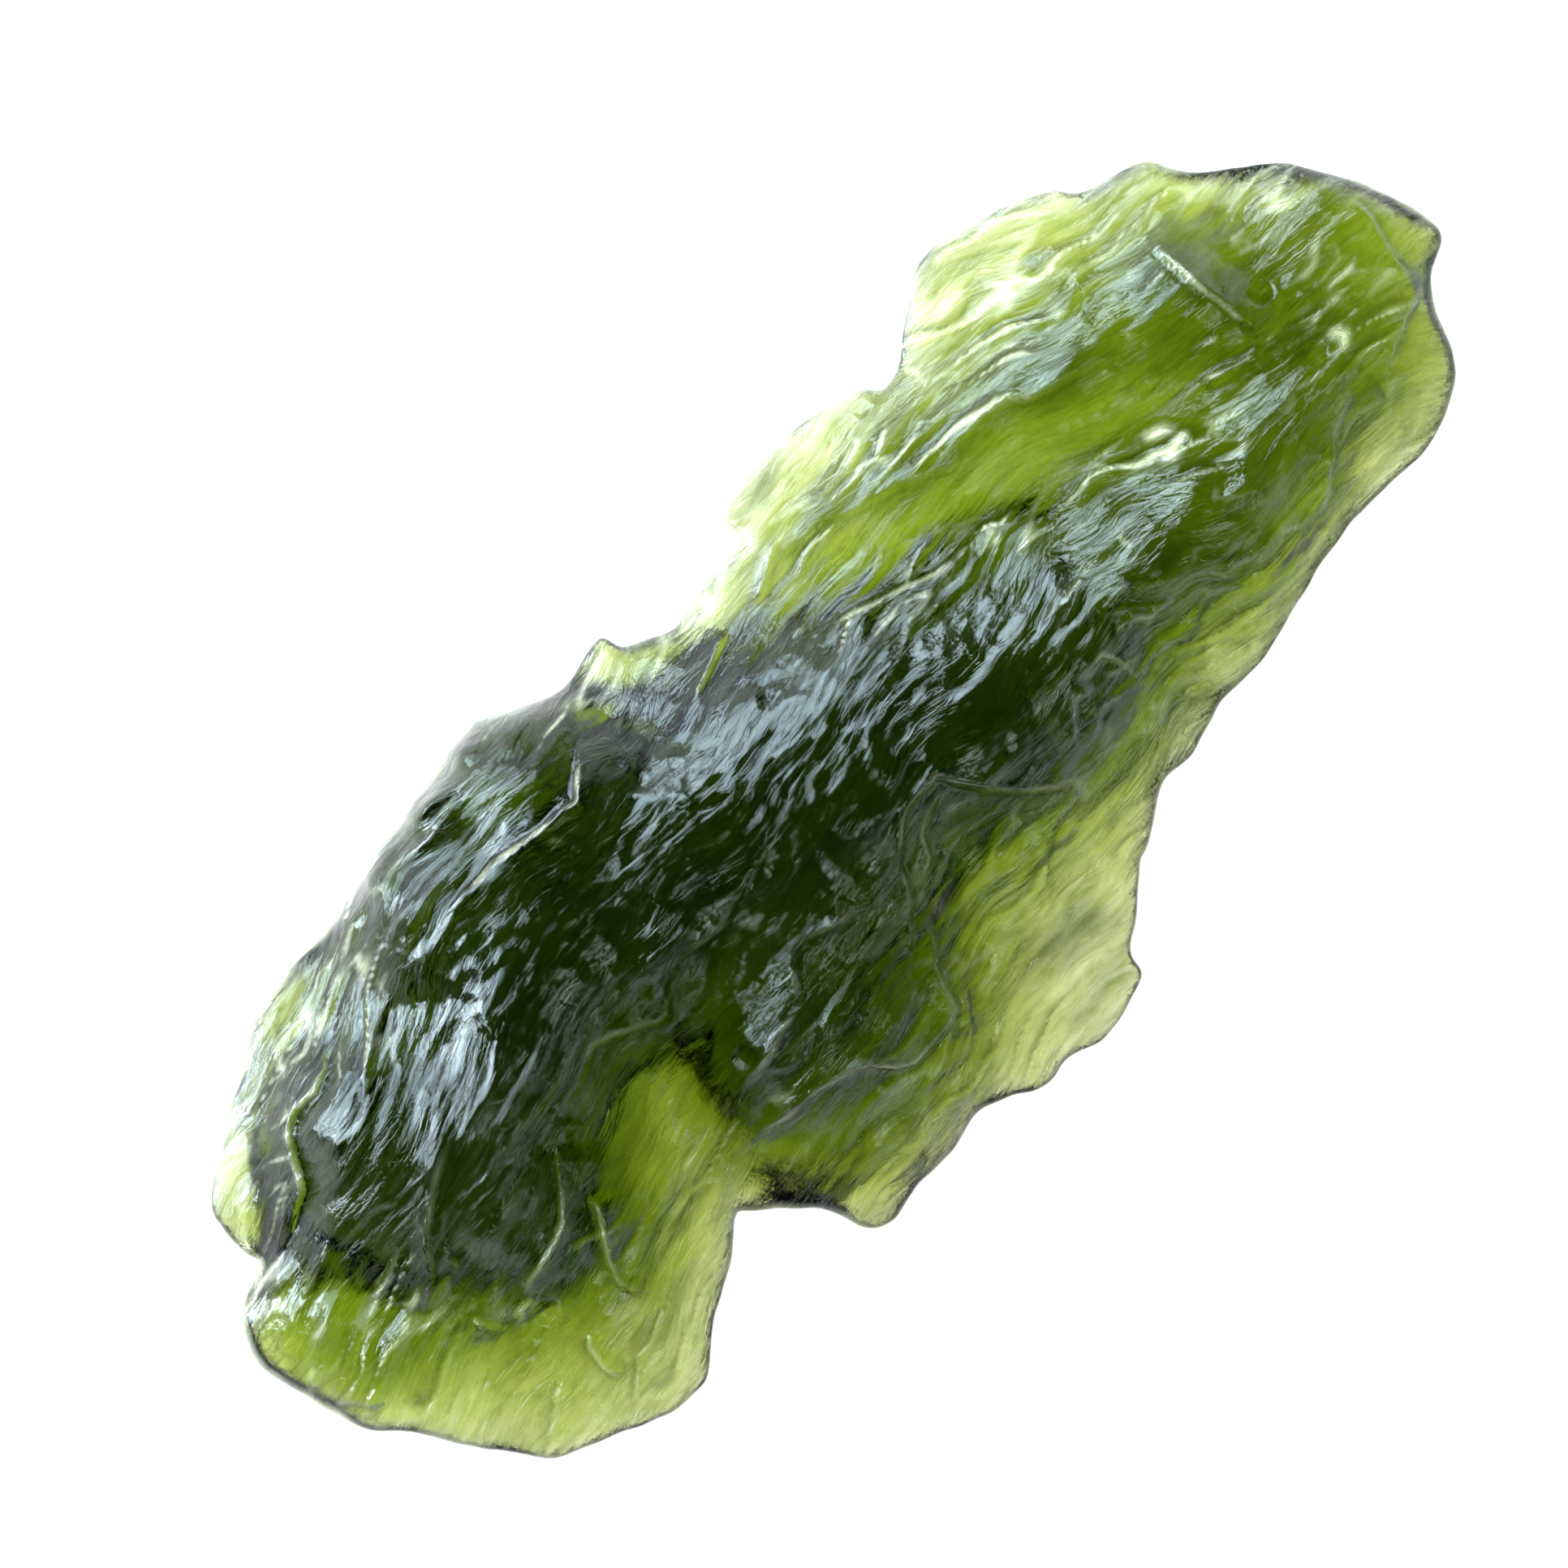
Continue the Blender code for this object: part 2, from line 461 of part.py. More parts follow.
def build_stone():
    """The mesh object of the stone, lying on z = 0 with its box centred on the origin."""
    outline = smooth_closed_line(OUTLINE, OUTLINE_STEP)
    scale, amount = OUTLINE_RIPPLE
    shifts = [amount * noise_at(outline, scale, OUTLINE_LAYER + k) for k in (0, 1)]
    outline += np.stack(shifts, 1)
    rings = np.vstack([ring_points(outline, inset) for inset in EDGE_RINGS])
    grid = plan_points(outline)

    count = len(outline)
    vertices = np.column_stack([outline, edge_height(outline)])
    faces = []
    for front in (True, False):
        points, heights, sheet = sheet_points(outline, rings, grid, front)
        first = len(vertices) - count
        for face in sheet:
            corners = [i if i < count else i + first for i in face]
            faces.append(corners if front else corners[::-1])
        vertices = np.vstack([vertices, np.column_stack([points, heights])[count:]])

    vertices *= MM * LENGTH / DRAWN_LENGTH
    low, high = vertices.min(0), vertices.max(0)
    vertices -= ((low[0] + high[0]) / 2, (low[1] + high[1]) / 2, low[2])
    mesh = bpy.data.meshes.new("moldavite")
    mesh.from_pydata(vertices.tolist(), [], faces)
    mesh.validate()
    mesh.shade_smooth()
    mesh.set_sharp_from_angle(angle=math.radians(32))
    stone = bpy.data.objects.new("moldavite", mesh)
    bpy.context.scene.collection.objects.link(stone)
    return stone


def green_glass():
    """Clear bottle-green glass."""
    material = bpy.data.materials.new("moldavite_glass")
    material.use_nodes = True
    surface = material.node_tree.nodes["Principled BSDF"]
    surface.inputs["Base Color"].default_value = (0.20, 0.30, 0.03, 1.0)
    surface.inputs["Metallic"].default_value = 0.0
    surface.inputs["Roughness"].default_value = 0.15
    surface.inputs["IOR"].default_value = 1.49
    surface.inputs["Transmission Weight"].default_value = 0.8
    material.diffuse_color = (0.20, 0.30, 0.03, 1.0)
    return material


def main():
    for obj in list(bpy.data.objects):
        bpy.data.objects.remove(obj)
    stone = build_stone()
    stone.data.materials.append(green_glass())


main()
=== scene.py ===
import math
from collections import namedtuple

import bpy
import numpy as np
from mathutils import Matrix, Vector, noise
from mathutils.geometry import delaunay_2d_cdt


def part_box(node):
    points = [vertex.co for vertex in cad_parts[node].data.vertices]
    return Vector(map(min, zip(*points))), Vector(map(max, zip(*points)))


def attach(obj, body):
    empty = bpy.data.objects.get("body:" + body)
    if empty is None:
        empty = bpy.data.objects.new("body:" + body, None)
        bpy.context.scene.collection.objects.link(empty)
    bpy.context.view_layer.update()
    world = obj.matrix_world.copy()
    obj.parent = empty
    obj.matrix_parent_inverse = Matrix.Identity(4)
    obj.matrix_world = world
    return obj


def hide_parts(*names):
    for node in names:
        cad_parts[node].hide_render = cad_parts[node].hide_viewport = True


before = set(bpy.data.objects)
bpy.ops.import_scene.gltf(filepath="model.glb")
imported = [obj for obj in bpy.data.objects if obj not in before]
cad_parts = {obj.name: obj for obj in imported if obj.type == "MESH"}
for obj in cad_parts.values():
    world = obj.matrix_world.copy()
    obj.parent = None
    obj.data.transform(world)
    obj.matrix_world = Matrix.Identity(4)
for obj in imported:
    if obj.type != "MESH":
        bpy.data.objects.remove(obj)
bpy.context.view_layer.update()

MM = 0.001

# The stone's driving dimensions, in millimetres, as in the solid
EDGE_ROUNDING = 0.5
OUTLINE_STEP = 0.5

# Factor on the listed heights of the front, as in the solid
FRONT_RISE = 0.85

# Fineness of the mesh, in millimetres
FRONT_STEP = 0.088
BACK_STEP = 0.17
FINE_OUTLINE_STEP = 0.11
FINE_RINGS = (0.04, 0.10, 0.18)

# Shares of the grid's step: how far noise shifts its points, the size of that noise, and the least
# distance from the innermost ring
GRID_JITTER, JITTER_SCALE, GRID_MARGIN = 0.15, 0.7, 0.45

# A ring's points that lie nearer to the outline than this share of its inset are left out
RING_CROWDING = 0.93

# The outline anticlockwise from the right-hand tip, in millimetres
OUTLINE = [
    (18.12, -1.3), (17.95, -0.4), (17.75, 0.3), (17.4, 1.05), (17.0, 1.85), (16.2, 2.65), (15.7, 3.1),
    (15.35, 3.6), (15.1, 4.2), (14.6, 4.48), (13.6, 4.9), (13.2, 5.4), (12.4, 5.95), (11.5, 6.3),
    (10.6, 6.62), (9.8, 6.55), (8.9, 6.05), (8.1, 5.55), (7.4, 5.48), (7.1, 5.8), (6.5, 6.12),
    (5.0, 6.45), (3.6, 6.53), (3.0, 6.42), (2.86, 6.1), (2.75, 5.75), (1.5, 5.72), (0.4, 5.58),
    (-0.3, 5.95), (-0.7, 6.2), (-0.8, 6.65), (-1.1, 6.72), (-2.2, 6.62), (-3.1, 7.05), (-3.9, 7.57),
    (-4.5, 7.66), (-6.4, 7.57), (-8.2, 7.42), (-9.2, 7.22), (-10.0, 7.18), (-11.5, 7.3), (-12.4, 7.07),
    (-13.3, 6.6), (-14.6, 6.15), (-16.0, 5.3), (-16.32, 4.7), (-16.42, 4.0), (-16.38, 3.62),
    (-16.7, 3.45), (-17.5, 3.18), (-17.85, 2.75), (-18.12, 2.1), (-18.05, 1.3), (-17.85, 0.1),
    (-17.65, -0.7), (-17.1, -1.4), (-16.6, -2.4), (-15.9, -3.6), (-15.4, -4.3), (-14.2, -4.95),
    (-13.1, -5.55), (-12.2, -5.7), (-11.7, -5.55), (-10.9, -5.0), (-9.6, -4.4), (-8.8, -3.88),
    (-8.45, -4.05), (-7.5, -5.1), (-7.25, -5.7), (-7.1, -6.3), (-6.6, -6.6), (-5.6, -6.52),
    (-4.6, -6.62), (-3.6, -6.48), (-2.9, -6.8), (-2.1, -7.28), (-1.3, -7.27), (-0.5, -7.62),
    (0.6, -7.5), (1.15, -7.3), (1.4, -6.8), (2.3, -6.25), (3.0, -5.7), (3.5, -5.55), (4.7, -4.93),
    (5.6, -5.03), (6.9, -4.78), (8.3, -4.86), (9.6, -4.65), (11.5, -4.43), (12.9, -4.5), (14.1, -4.65),
    (15.4, -4.35), (16.2, -3.75), (16.65, -2.9), (17.2, -2.25), (18.0, -1.9),
]

# Height of the thin edge above the floor: x, y, height
EDGE_HEIGHTS = [
    (-17.5, 1.5, 2.7), (-15.0, 5.6, 2.5), (-8.0, 7.2, 2.9), (-1.0, 6.2, 3.2), (5.0, 6.2, 2.9),
    (11.0, 6.2, 2.6), (17.0, 1.0, 2.7), (16.5, -3.0, 2.5), (9.0, -4.7, 3.0), (3.0, -5.6, 2.6),
    (-1.0, -7.2, 2.3), (-6.5, -6.2, 2.6), (-9.0, -4.1, 2.9), (-13.0, -5.3, 2.5),
]

# How far the front stands above the edge's plane, before FRONT_RISE: x, y, height
FRONT_HEIGHTS = [
    # Left tip, the two smooth hollows below it and the yellow lobe
    (-17.2, 2.3, 0.9), (-16.2, 1.6, 1.6), (-17.2, -0.3, 0.7), (-15.4, 1.3, 1.5), (-15.5, 0.1, 1.7),
    (-15.0, -1.2, 1.0), (-15.0, -2.8, 0.6), (-13.8, -3.6, 0.7), (-13.2, -1.8, 1.5), (-12.0, -4.8, 0.4),
    (-11.8, -2.7, 1.3), (-13.4, 0.5, 2.4),
    # Dark facet, the thin flange beyond it and the pale slopes up to the ridge
    (-15.4, 2.5, 2.2), (-13.7, 3.0, 3.3), (-13.2, 4.4, 3.3), (-11.9, 4.4, 3.4), (-14.9, 4.9, 0.6),
    (-13.6, 5.9, 0.5), (-11.8, 6.1, 0.9), (-12.2, 1.7, 3.7), (-12.2, -0.1, 3.4), (-10.8, 0.6, 3.6),
    (-10.2, 1.8, 4.3), (-10.2, 3.6, 3.4), (-9.6, 5.6, 2.5), (-9.4, 6.8, 1.6),
    # High middle and the long slope towards the light
    (-8.0, 4.3, 4.4), (-8.4, 6.6, 2.7), (-6.0, 4.9, 4.3), (-6.0, 6.1, 3.3), (-6.0, 7.1, 2.7),
    (-3.8, 4.8, 4.0), (-3.8, 6.7, 2.8), (-9.3, 7.15, 1.3), (-8.0, 7.35, 1.9), (-6.4, 7.5, 2.2),
    (-4.8, 7.55, 2.2), (-3.5, 7.1, 1.8), (-7.8, 2.0, 4.6), (-5.0, 3.2, 4.6), (-4.5, 1.2, 4.5),
    (-2.2, 2.8, 4.2), (-1.9, 4.6, 2.3), (-1.6, 5.8, 1.0), (0.2, 1.2, 4.3), (0.0, 2.9, 3.4),
    (0.5, 4.2, 1.5), (0.5, 5.2, 0.45), (2.2, 0.4, 4.0), (2.2, 1.9, 3.2), (-0.5, -0.5, 4.3),
    (2.6, -1.2, 4.0),
    # Slope of flow lines, the plateau and the olive face under it
    (-10.4, -1.0, 2.1), (-9.2, 0.2, 2.3), (-9.3, -1.6, 1.4), (-8.6, -2.8, 1.1), (-7.3, -0.6, 0.9),
    (-5.2, -0.2, 2.6), (-3.2, 0.0, 3.6), (-5.6, -1.6, 3.5), (-3.2, -1.9, 3.4), (-3.0, -3.3, 2.9),
    (-6.6, -3.6, 1.5), (-6.4, -5.0, 0.9), (-4.6, -5.3, 1.2), (-2.4, -5.2, 1.0), (-8.3, -3.5, 0.4),
    (-7.0, -5.7, 0.35), (-5.7, -6.3, 0.35), (-4.5, -6.4, 0.35),
    # Thin fan on the lower side
    (0.4, -2.2, 1.7), (0.5, -3.4, 0.9), (0.0, -5.0, 0.6), (0.2, -6.4, 0.25), (-2.6, -6.4, 0.3),
    (2.6, -3.6, 1.0), (2.6, -4.9, 0.5),
    # Thin yellow trough, the ridge above it and the pale rim
    (2.4, 3.6, 1.2), (5.0, 3.0, 1.0), (7.0, 2.3, 1.0), (8.6, 1.7, 1.1), (10.4, 1.0, 1.2),
    (12.0, 0.0, 1.3), (3.8, 4.6, 0.9), (6.2, 3.9, 1.5), (8.4, 3.2, 1.7), (10.2, 2.4, 2.3),
    (5.0, 5.2, 0.6), (5.0, 6.1, 0.3), (9.0, 4.1, 1.0), (9.0, 5.4, 0.35), (11.0, 4.7, 0.7),
    (10.8, 6.0, 0.3), (11.2, 3.6, 1.6),
    # Striped slope towards the light and the scalloped side behind its crest
    (4.2, 1.6, 2.4), (6.2, 1.2, 1.9), (4.8, 0.2, 3.1), (7.0, -0.4, 2.7), (9.2, -0.6, 2.3),
    (5.4, -1.7, 3.5), (8.2, -2.0, 3.1), (10.8, -2.2, 2.7), (12.8, -2.0, 2.3), (5.6, -3.2, 1.2),
    (8.0, -3.4, 0.9), (8.2, -4.2, 0.5), (11.2, -3.5, 0.8), (13.4, -3.4, 0.7), (13.4, -4.1, 0.35),
    # Straight cross ridge and the thin right end
    (13.5, 1.2, 2.6), (13.4, 2.6, 2.0), (12.3, 2.9, 1.7), (12.3, 1.7, 2.3), (12.6, 4.2, 0.6),
    (14.4, 1.0, 1.7), (14.6, 3.0, 0.7), (15.5, 2.0, 0.6), (15.5, 0.6, 1.5), (15.2, -0.8, 1.5),
    (15.0, -1.8, 1.6), (17.2, 0.0, 1.1), (16.9, 1.4, 0.8), (16.2, -3.1, 0.6), (16.6, -1.8, 0.8),
]

# How far the back reaches below the edge's plane
BACK_HEIGHTS = [
    (-17.0, 1.5, 0.7), (-15.0, 0.4, 1.0), (-15.0, -2.8, 0.45), (-13.8, 3.0, 2.4), (-14.8, 5.0, 0.4),
    (-12.0, 1.0, 2.8), (-12.0, -4.8, 0.3), (-11.6, 6.0, 0.6), (-9.5, -2.0, 0.7), (-8.5, 2.2, 2.8),
    (-6.0, 5.0, 2.3), (-6.0, 6.6, 1.6), (-6.2, -4.2, 1.2), (-4.5, 1.5, 3.1), (-3.0, -3.4, 1.7),
    (-1.5, 5.0, 0.7), (-1.0, 1.6, 3.1), (0.0, -0.4, 3.0), (0.5, -3.2, 0.7), (0.2, -6.2, 0.2),
    (1.0, 4.8, 0.3), (2.6, -4.6, 0.4), (4.0, 0.0, 2.7), (5.0, 3.2, 1.1), (5.0, 5.5, 0.2),
    (7.5, -1.4, 1.6), (8.0, -4.0, 0.4), (8.8, 1.8, 1.1), (9.0, 4.9, 0.25), (11.6, -1.0, 1.4),
    (11.8, 0.8, 1.1), (12.2, 3.2, 0.6), (13.0, -3.8, 0.3), (14.4, 0.4, 1.3), (16.2, -3.1, 0.35),
    (17.2, 0.2, 0.6), (-7.6, -0.8, 1.2), (-13.0, -2.0, 0.9),
]

# Height and spacing of the low points that hold both sheets down along the outline, how near a listed
# height they may come as a share of the spacing, and the thinnest glass
EDGE_BLANK = 0.22
EDGE_SPACING = 1.3
EDGE_CLEARANCE = 0.45
THINNEST = 0.28

# Distance in millimetres over which one edge height blends into the next
EDGE_BLEND = 2

# Relief starts where a sheet stands this high off the edge's plane and grows over this much more, and it
# grows over this distance from the edge
RELIEF_FROM, RELIEF_OVER = 0.1, 0.5
RELIEF_MARGIN = 0.5

# The back is worn flat below this height, and the stone lies on that face
REST_LEVEL = 0.25

# How much noise shifts the forms, as its size and amount, so that their borders are uneven
WARP_SCALES = ((2.3, 0.22), (0.9, 0.10))
OUTLINE_RIPPLE = (0.55, 0.035)

# The flow lines bend by noise of these sizes and amounts, are pulled along by a share of it, and curve
# towards the stone's two ends, at the left by this share of the curve at the right
FLOW_BENDS = ((5.0, 0.9), (1.6, 0.22))
FLOW_PULL = 0.3
FLOW_CURVE_FROM = 2
FLOW_CURVE = 0.012
FLOW_CURVE_LEFT = 0.35

# Layers of noise, one for each use, so that no two forms repeat each other
FRONT_LAYER, BACK_LAYER = 70, 90
FRONT_WARP_LAYER, BACK_WARP_LAYER, LEDGE_WARP_LAYER, PLACE_WARP_LAYER = 0, 20, 30, 80
OUTLINE_LAYER, GRID_LAYER, FLOW_LAYER = 40, 50, 60
LEDGE_WEAR_LAYER, RIM_WEAR_LAYER = 88, 89

# How far apart the layers lie in the plain noise, the stretched noise and the cells of the scoops
NOISE_GAP, STRETCHED_GAP, SCOOP_GAP = 7.3, 5.7, 3.1

# Ledges: sharp rims with a gentle slope behind them and a short drop before them.
# Each is a rim height, a length of slope, and its line. The slope lies on the line's left side.
LEDGES = [
    # Left end
    (0.22, 0.8, [
        (-15.5, 3.45), (-14.9, 3.7), (-14.4, 4.0), (-14.0, 4.5), (-13.6, 4.95), (-13.1, 5.15),
        (-12.6, 5.0), (-12.0, 5.1), (-11.5, 5.45),
    ]),
    (0.30, 0.9, [(-14.8, 0.1), (-14.0, 0.5), (-13.2, 1.05), (-12.4, 1.6), (-11.9, 1.9), (-11.3, 2.2)]),
    (0.16, 0.4, [(-13.5, 0.15), (-13.2, 0.6), (-12.9, 0.9), (-12.4, 1.2)]),
    (0.10, 0.5, [(-15.0, 2.4), (-13.5, 2.3), (-13.0, 2.1)]),
    (0.28, 0.7, [(-9.9, 0.3), (-10.2, 0.1), (-10.6, -0.3), (-11.2, -0.9), (-12.0, -1.2), (-12.9, -1.4)]),
    (0.30, 0.7, [
        (-10.4, -0.9), (-10.5, -1.2), (-10.9, -1.7), (-11.2, -2.2), (-11.4, -2.8), (-11.3, -3.3),
        (-11.0, -3.9),
    ]),
    (0.14, 0.5, [(-17.7, 0.45), (-17.2, 0.1), (-16.8, -0.5)]),
    (0.16, 0.5, [(-11.0, -3.9), (-11.8, -4.2), (-12.4, -4.3), (-13.0, -4.7), (-13.6, -5.0)]),
    (0.18, 0.4, [(-12.7, -3.1), (-13.0, -3.3), (-13.2, -3.8), (-13.0, -4.3)]),
    (0.20, 0.3, [(-13.9, -1.4), (-14.2, -0.8)]),
    # Ridge between the dark pitted middle and the slope of flow lines
    (0.30, 0.8, [
        (-10.0, 0.0), (-9.2, 0.6), (-8.5, 0.85), (-7.9, 1.05), (-7.3, 0.9), (-6.9, 0.6), (-6.5, 0.2),
        (-6.2, 0.05), (-5.7, 0.5), (-5.2, 0.65), (-4.6, 0.65), (-4.1, 0.45), (-3.4, 0.6), (-2.5, 0.85),
        (-1.8, 0.9),
    ]),
    # Bright ledges across the lower middle
    (0.30, 0.9, [
        (-7.5, -2.95), (-6.9, -3.05), (-6.3, -3.2), (-5.6, -3.25), (-5.0, -3.45), (-4.5, -3.65),
        (-4.1, -4.2), (-3.8, -4.5), (-3.5, -4.65), (-2.8, -4.6), (-2.1, -4.55), (-1.8, -3.9),
        (-1.3, -3.3), (-0.9, -2.6),
    ]),
    (0.45, 1.0, [
        (-1.9, -3.1), (-1.4, -2.6), (-0.9, -2.3), (-0.5, -1.7), (0.0, -1.3), (0.5, -1.0), (0.9, -0.95),
        (1.3, -1.05), (1.6, -1.0), (1.8, -1.5), (2.1, -2.1), (2.5, -2.6), (3.0, -3.0), (3.4, -3.2),
        (4.2, -3.5),
    ]),
    (0.16, 0.3, [(-0.5, -2.3), (0.1, -2.1), (0.4, -1.7), (0.9, -1.5), (1.5, -1.3)]),
    (0.14, 0.3, [(-0.5, -2.6), (0.0, -2.4), (0.8, -2.3), (1.4, -2.35), (1.9, -2.6), (2.2, -2.8)]),
    (0.14, 0.4, [(-2.3, -5.2), (-2.0, -4.8), (-1.5, -4.4)]),
    (0.22, 0.6, [
        (-4.4, -1.8), (-4.1, -1.5), (-3.8, -1.15), (-3.4, -1.0), (-3.0, -1.05), (-2.6, -1.2),
        (-2.0, -1.3), (-1.5, -1.5),
    ]),
    (0.20, 0.6, [(-6.8, -2.05), (-6.0, -2.1), (-5.4, -2.0), (-4.8, -1.85), (-4.4, -1.8)]),
    (0.12, 0.3, [(-5.8, -2.15), (-5.4, -2.4), (-5.0, -2.6)]),
    (0.12, 0.4, [(-5.9, -6.3), (-5.0, -6.0)]),
    (0.12, 0.4, [(-3.8, -6.3), (-3.2, -6.1), (-2.0, -6.0)]),
    (0.12, 0.4, [(-4.0, -5.2), (-3.0, -5.4), (-2.3, -5.2)]),
    (0.20, 0.6, [(0.9, -4.8), (1.2, -4.4), (1.8, -3.9), (2.5, -3.6), (3.2, -3.5), (3.6, -3.7)]),
    (0.12, 0.4, [(-0.5, -4.8), (0.0, -4.7), (0.5, -4.8)]),
    # Shingle-like scallops on the lower side of the right half
    (0.20, 0.4, [(4.0, -3.0), (4.4, -2.5), (4.8, -2.2), (5.2, -2.4)]),
    (0.20, 0.4, [(5.2, -2.0), (5.9, -1.9), (6.1, -2.4), (6.1, -2.8)]),
    (0.18, 0.4, [(4.4, -3.1), (5.0, -2.8), (5.6, -2.9), (6.0, -3.3)]),
    (0.18, 0.4, [(5.9, -3.0), (6.6, -2.9), (7.2, -3.1), (7.6, -3.5)]),
    (0.22, 0.5, [
        (6.3, -2.1), (6.9, -2.0), (7.2, -2.4), (7.9, -2.5), (8.6, -2.6), (9.2, -3.1), (9.5, -3.3),
    ]),
    (0.18, 0.4, [(7.6, -3.4), (8.3, -3.15), (8.9, -3.2), (9.3, -3.5)]),
    (0.14, 0.3, [(5.4, -4.3), (5.9, -4.0), (6.4, -4.1), (7.0, -4.5)]),
    (0.14, 0.3, [(7.8, -3.9), (8.2, -4.2), (8.5, -4.4)]),
    (0.22, 0.5, [
        (9.0, -2.6), (9.4, -3.1), (9.9, -3.3), (10.5, -3.3), (11.0, -3.5), (11.6, -3.7), (12.0, -3.4),
        (12.4, -3.1), (12.9, -3.0), (13.6, -2.9), (14.1, -3.1), (14.5, -3.35),
    ]),
    (0.14, 0.4, [(12.2, -3.3), (12.7, -2.9), (13.3, -2.6), (13.9, -2.45)]),
    (0.14, 0.3, [
        (9.0, -3.9), (9.7, -3.8), (10.6, -3.9), (11.4, -3.9), (12.2, -3.8), (12.6, -3.7), (13.2, -3.8),
        (13.8, -3.9), (14.4, -3.75), (14.7, -3.7),
    ]),
    (0.12, 0.3, [(12.6, -4.4), (12.5, -4.0), (12.4, -3.8)]),
    (0.20, 0.7, [(14.9, -2.8), (15.4, -2.6), (16.0, -2.35), (16.6, -2.3), (17.0, -2.35)]),
    (0.14, 0.7, [(16.7, -2.0), (16.9, -1.3), (17.2, -0.3), (17.2, 0.3)]),
    # Edges of the yellow trough
    (0.30, 0.6, [
        (3.6, 4.6), (5.0, 4.2), (6.0, 3.9), (7.0, 3.2), (8.1, 3.3), (8.9, 3.1), (9.2, 2.8), (10.0, 2.5),
        (10.8, 2.1), (11.0, 1.4),
    ]),
    (0.30, 0.8, [(6.0, 1.8), (5.0, 2.0), (3.5, 2.5), (2.5, 2.9)]),
    # Straight cross ridge near the right end
    (0.35, 0.9, [(13.5, 3.2), (13.5, 2.0), (13.6, 1.0), (13.6, 0.2), (13.5, -0.5)]),
    (0.20, 0.5, [(13.4, -0.5), (12.9, -0.3), (12.3, 0.0), (12.0, 0.2)]),
    (0.16, 0.3, [(6.5, -1.35), (7.5, -1.5)]),
    # Lower edge of the pale slope along the upper left side, and streaks beside it
    (0.25, 0.8, [
        (-2.5, 5.9), (-3.3, 5.2), (-3.8, 4.8), (-4.2, 4.9), (-5.2, 5.0), (-6.2, 5.3), (-7.0, 5.3),
        (-8.0, 5.2),
    ]),
    (0.16, 0.3, [(-0.8, 4.3), (0.5, 4.4), (1.0, 4.6)]),
    (0.16, 0.3, [(1.9, 4.6), (2.8, 4.9), (3.3, 5.1)]),
]
LEDGE_DROP = 0.10
LEDGE_STRENGTH = 1.5

# A ledge's rim is worn this wide, and the painted shade before it starts and reaches this far
LEDGE_WORN_WIDTH = 0.08
LEDGE_SHADE_FROM, LEDGE_SHADE_REACH = 0.08, 0.4

# Ledges lower than this are less worn, and get less painted shade
FULLY_WORN_HEIGHT, FULLY_DARK_HEIGHT = 0.2, 0.15

# Small round pits: x, y, radius and depth
PITS = [
    (-7.5, 7.0, 0.25, 0.2), (-3.6, 7.0, 0.25, 0.2), (14.3, 0.4, 0.3, 0.35), (11.3, 1.1, 0.35, 0.3),
    (14.0, -1.4, 0.3, 0.3), (-5.85, -1.7, 0.3, 0.25), (14.5, -2.45, 0.2, 0.15), (6.7, 5.55, 0.2, 0.15),
    (-13.0, -2.0, 0.3, 0.2),
]

# Smooth places of the front, where only flow lines show: x, y, half length, half width, turn, share
CALM_PLACES = [
    (-13.7, 3.0, 2.4, 1.5, 22, 1.0), (-14.9, -2.6, 1.6, 1.5, 0, 0.9), (-17.2, -0.3, 0.8, 1.0, 20, 0.9),
    (-14.8, 5.2, 1.7, 0.8, 28, 0.8), (-12.2, -0.1, 1.0, 0.9, 20, 0.8), (-8.0, -1.0, 2.6, 1.2, 5, 0.8),
    (-6.6, -4.4, 2.2, 1.2, -22, 0.9), (0.6, -3.2, 1.8, 1.3, 10, 0.2), (3.5, 3.5, 2.8, 0.8, -10, 0.95),
    (8.0, 2.1, 2.8, 0.8, -22, 0.95), (11.7, 0.2, 1.6, 0.7, -38, 0.9), (17.2, 0.0, 0.9, 1.9, 12, 0.6),
    (16.0, -3.2, 1.3, 0.9, 35, 0.95), (-12.0, -4.8, 1.6, 0.7, 10, 0.5), (-3.0, -3.1, 1.1, 1.3, 0, 0.6),
]

# Crumpled places of the front
CRUMPLED_PLACES = [
    (-6.0, 3.6, 3.6, 2.0, 0, 1.0), (-1.5, 1.8, 3.4, 2.6, -10, 1.0), (3.2, -0.4, 2.6, 1.7, -20, 0.9),
    (-12.5, -2.6, 1.4, 1.2, 0, 0.8), (-17.2, 2.2, 1.0, 0.9, 0, 1.0), (11.0, 2.0, 2.4, 1.4, -15, 0.5),
    (13.8, 0.6, 0.9, 2.2, 0, 0.7),
]
BACK_CRUMPLED = 0.3

# How far beyond its ellipse a place reaches, as a factor, and how steeply it ends there
PLACE_REACH, PLACE_STEEPNESS = 1.25, 2.4

# What a smooth place and a crumpled one take away, as shares
CALM_TAKES = {"scoops": 0.65, "steps": 0.4, "wear": 0.6, "painted_shade": 0.5}
CRUMPLED_TAKES = {"lines": 0.8, "scoops": 0.7, "steps": 0.9, "bump": 0.5}

# Fine forms: height, length along the flow and width across it, in millimetres. Each has its own noise,
# in this layer above the front's or the back's.
Form = namedtuple("Form", "height length width layer")
LINES = Form(0.08, 2.0, 0.32, 0)
RIPPLES = Form(0.045, 2.6, 0.5, 1)
WIDE_SCOOPS = Form(0.26, 3.2, 1.2, 2)
MIDDLING_SCOOPS = Form(0.13, 1.4, 0.55, 3)
SMALL_SCOOPS = Form(0.05, 0.65, 0.27, 4)
CRUMPLES = Form(0.06, 0.42, 0.38, 5)
BACK_HOLLOWS = Form(0.8, 2.2, 1.2, 9)
UNEVEN_LAYER, PATCHY_LAYER, STEP_LAYER = 7, 8, 10

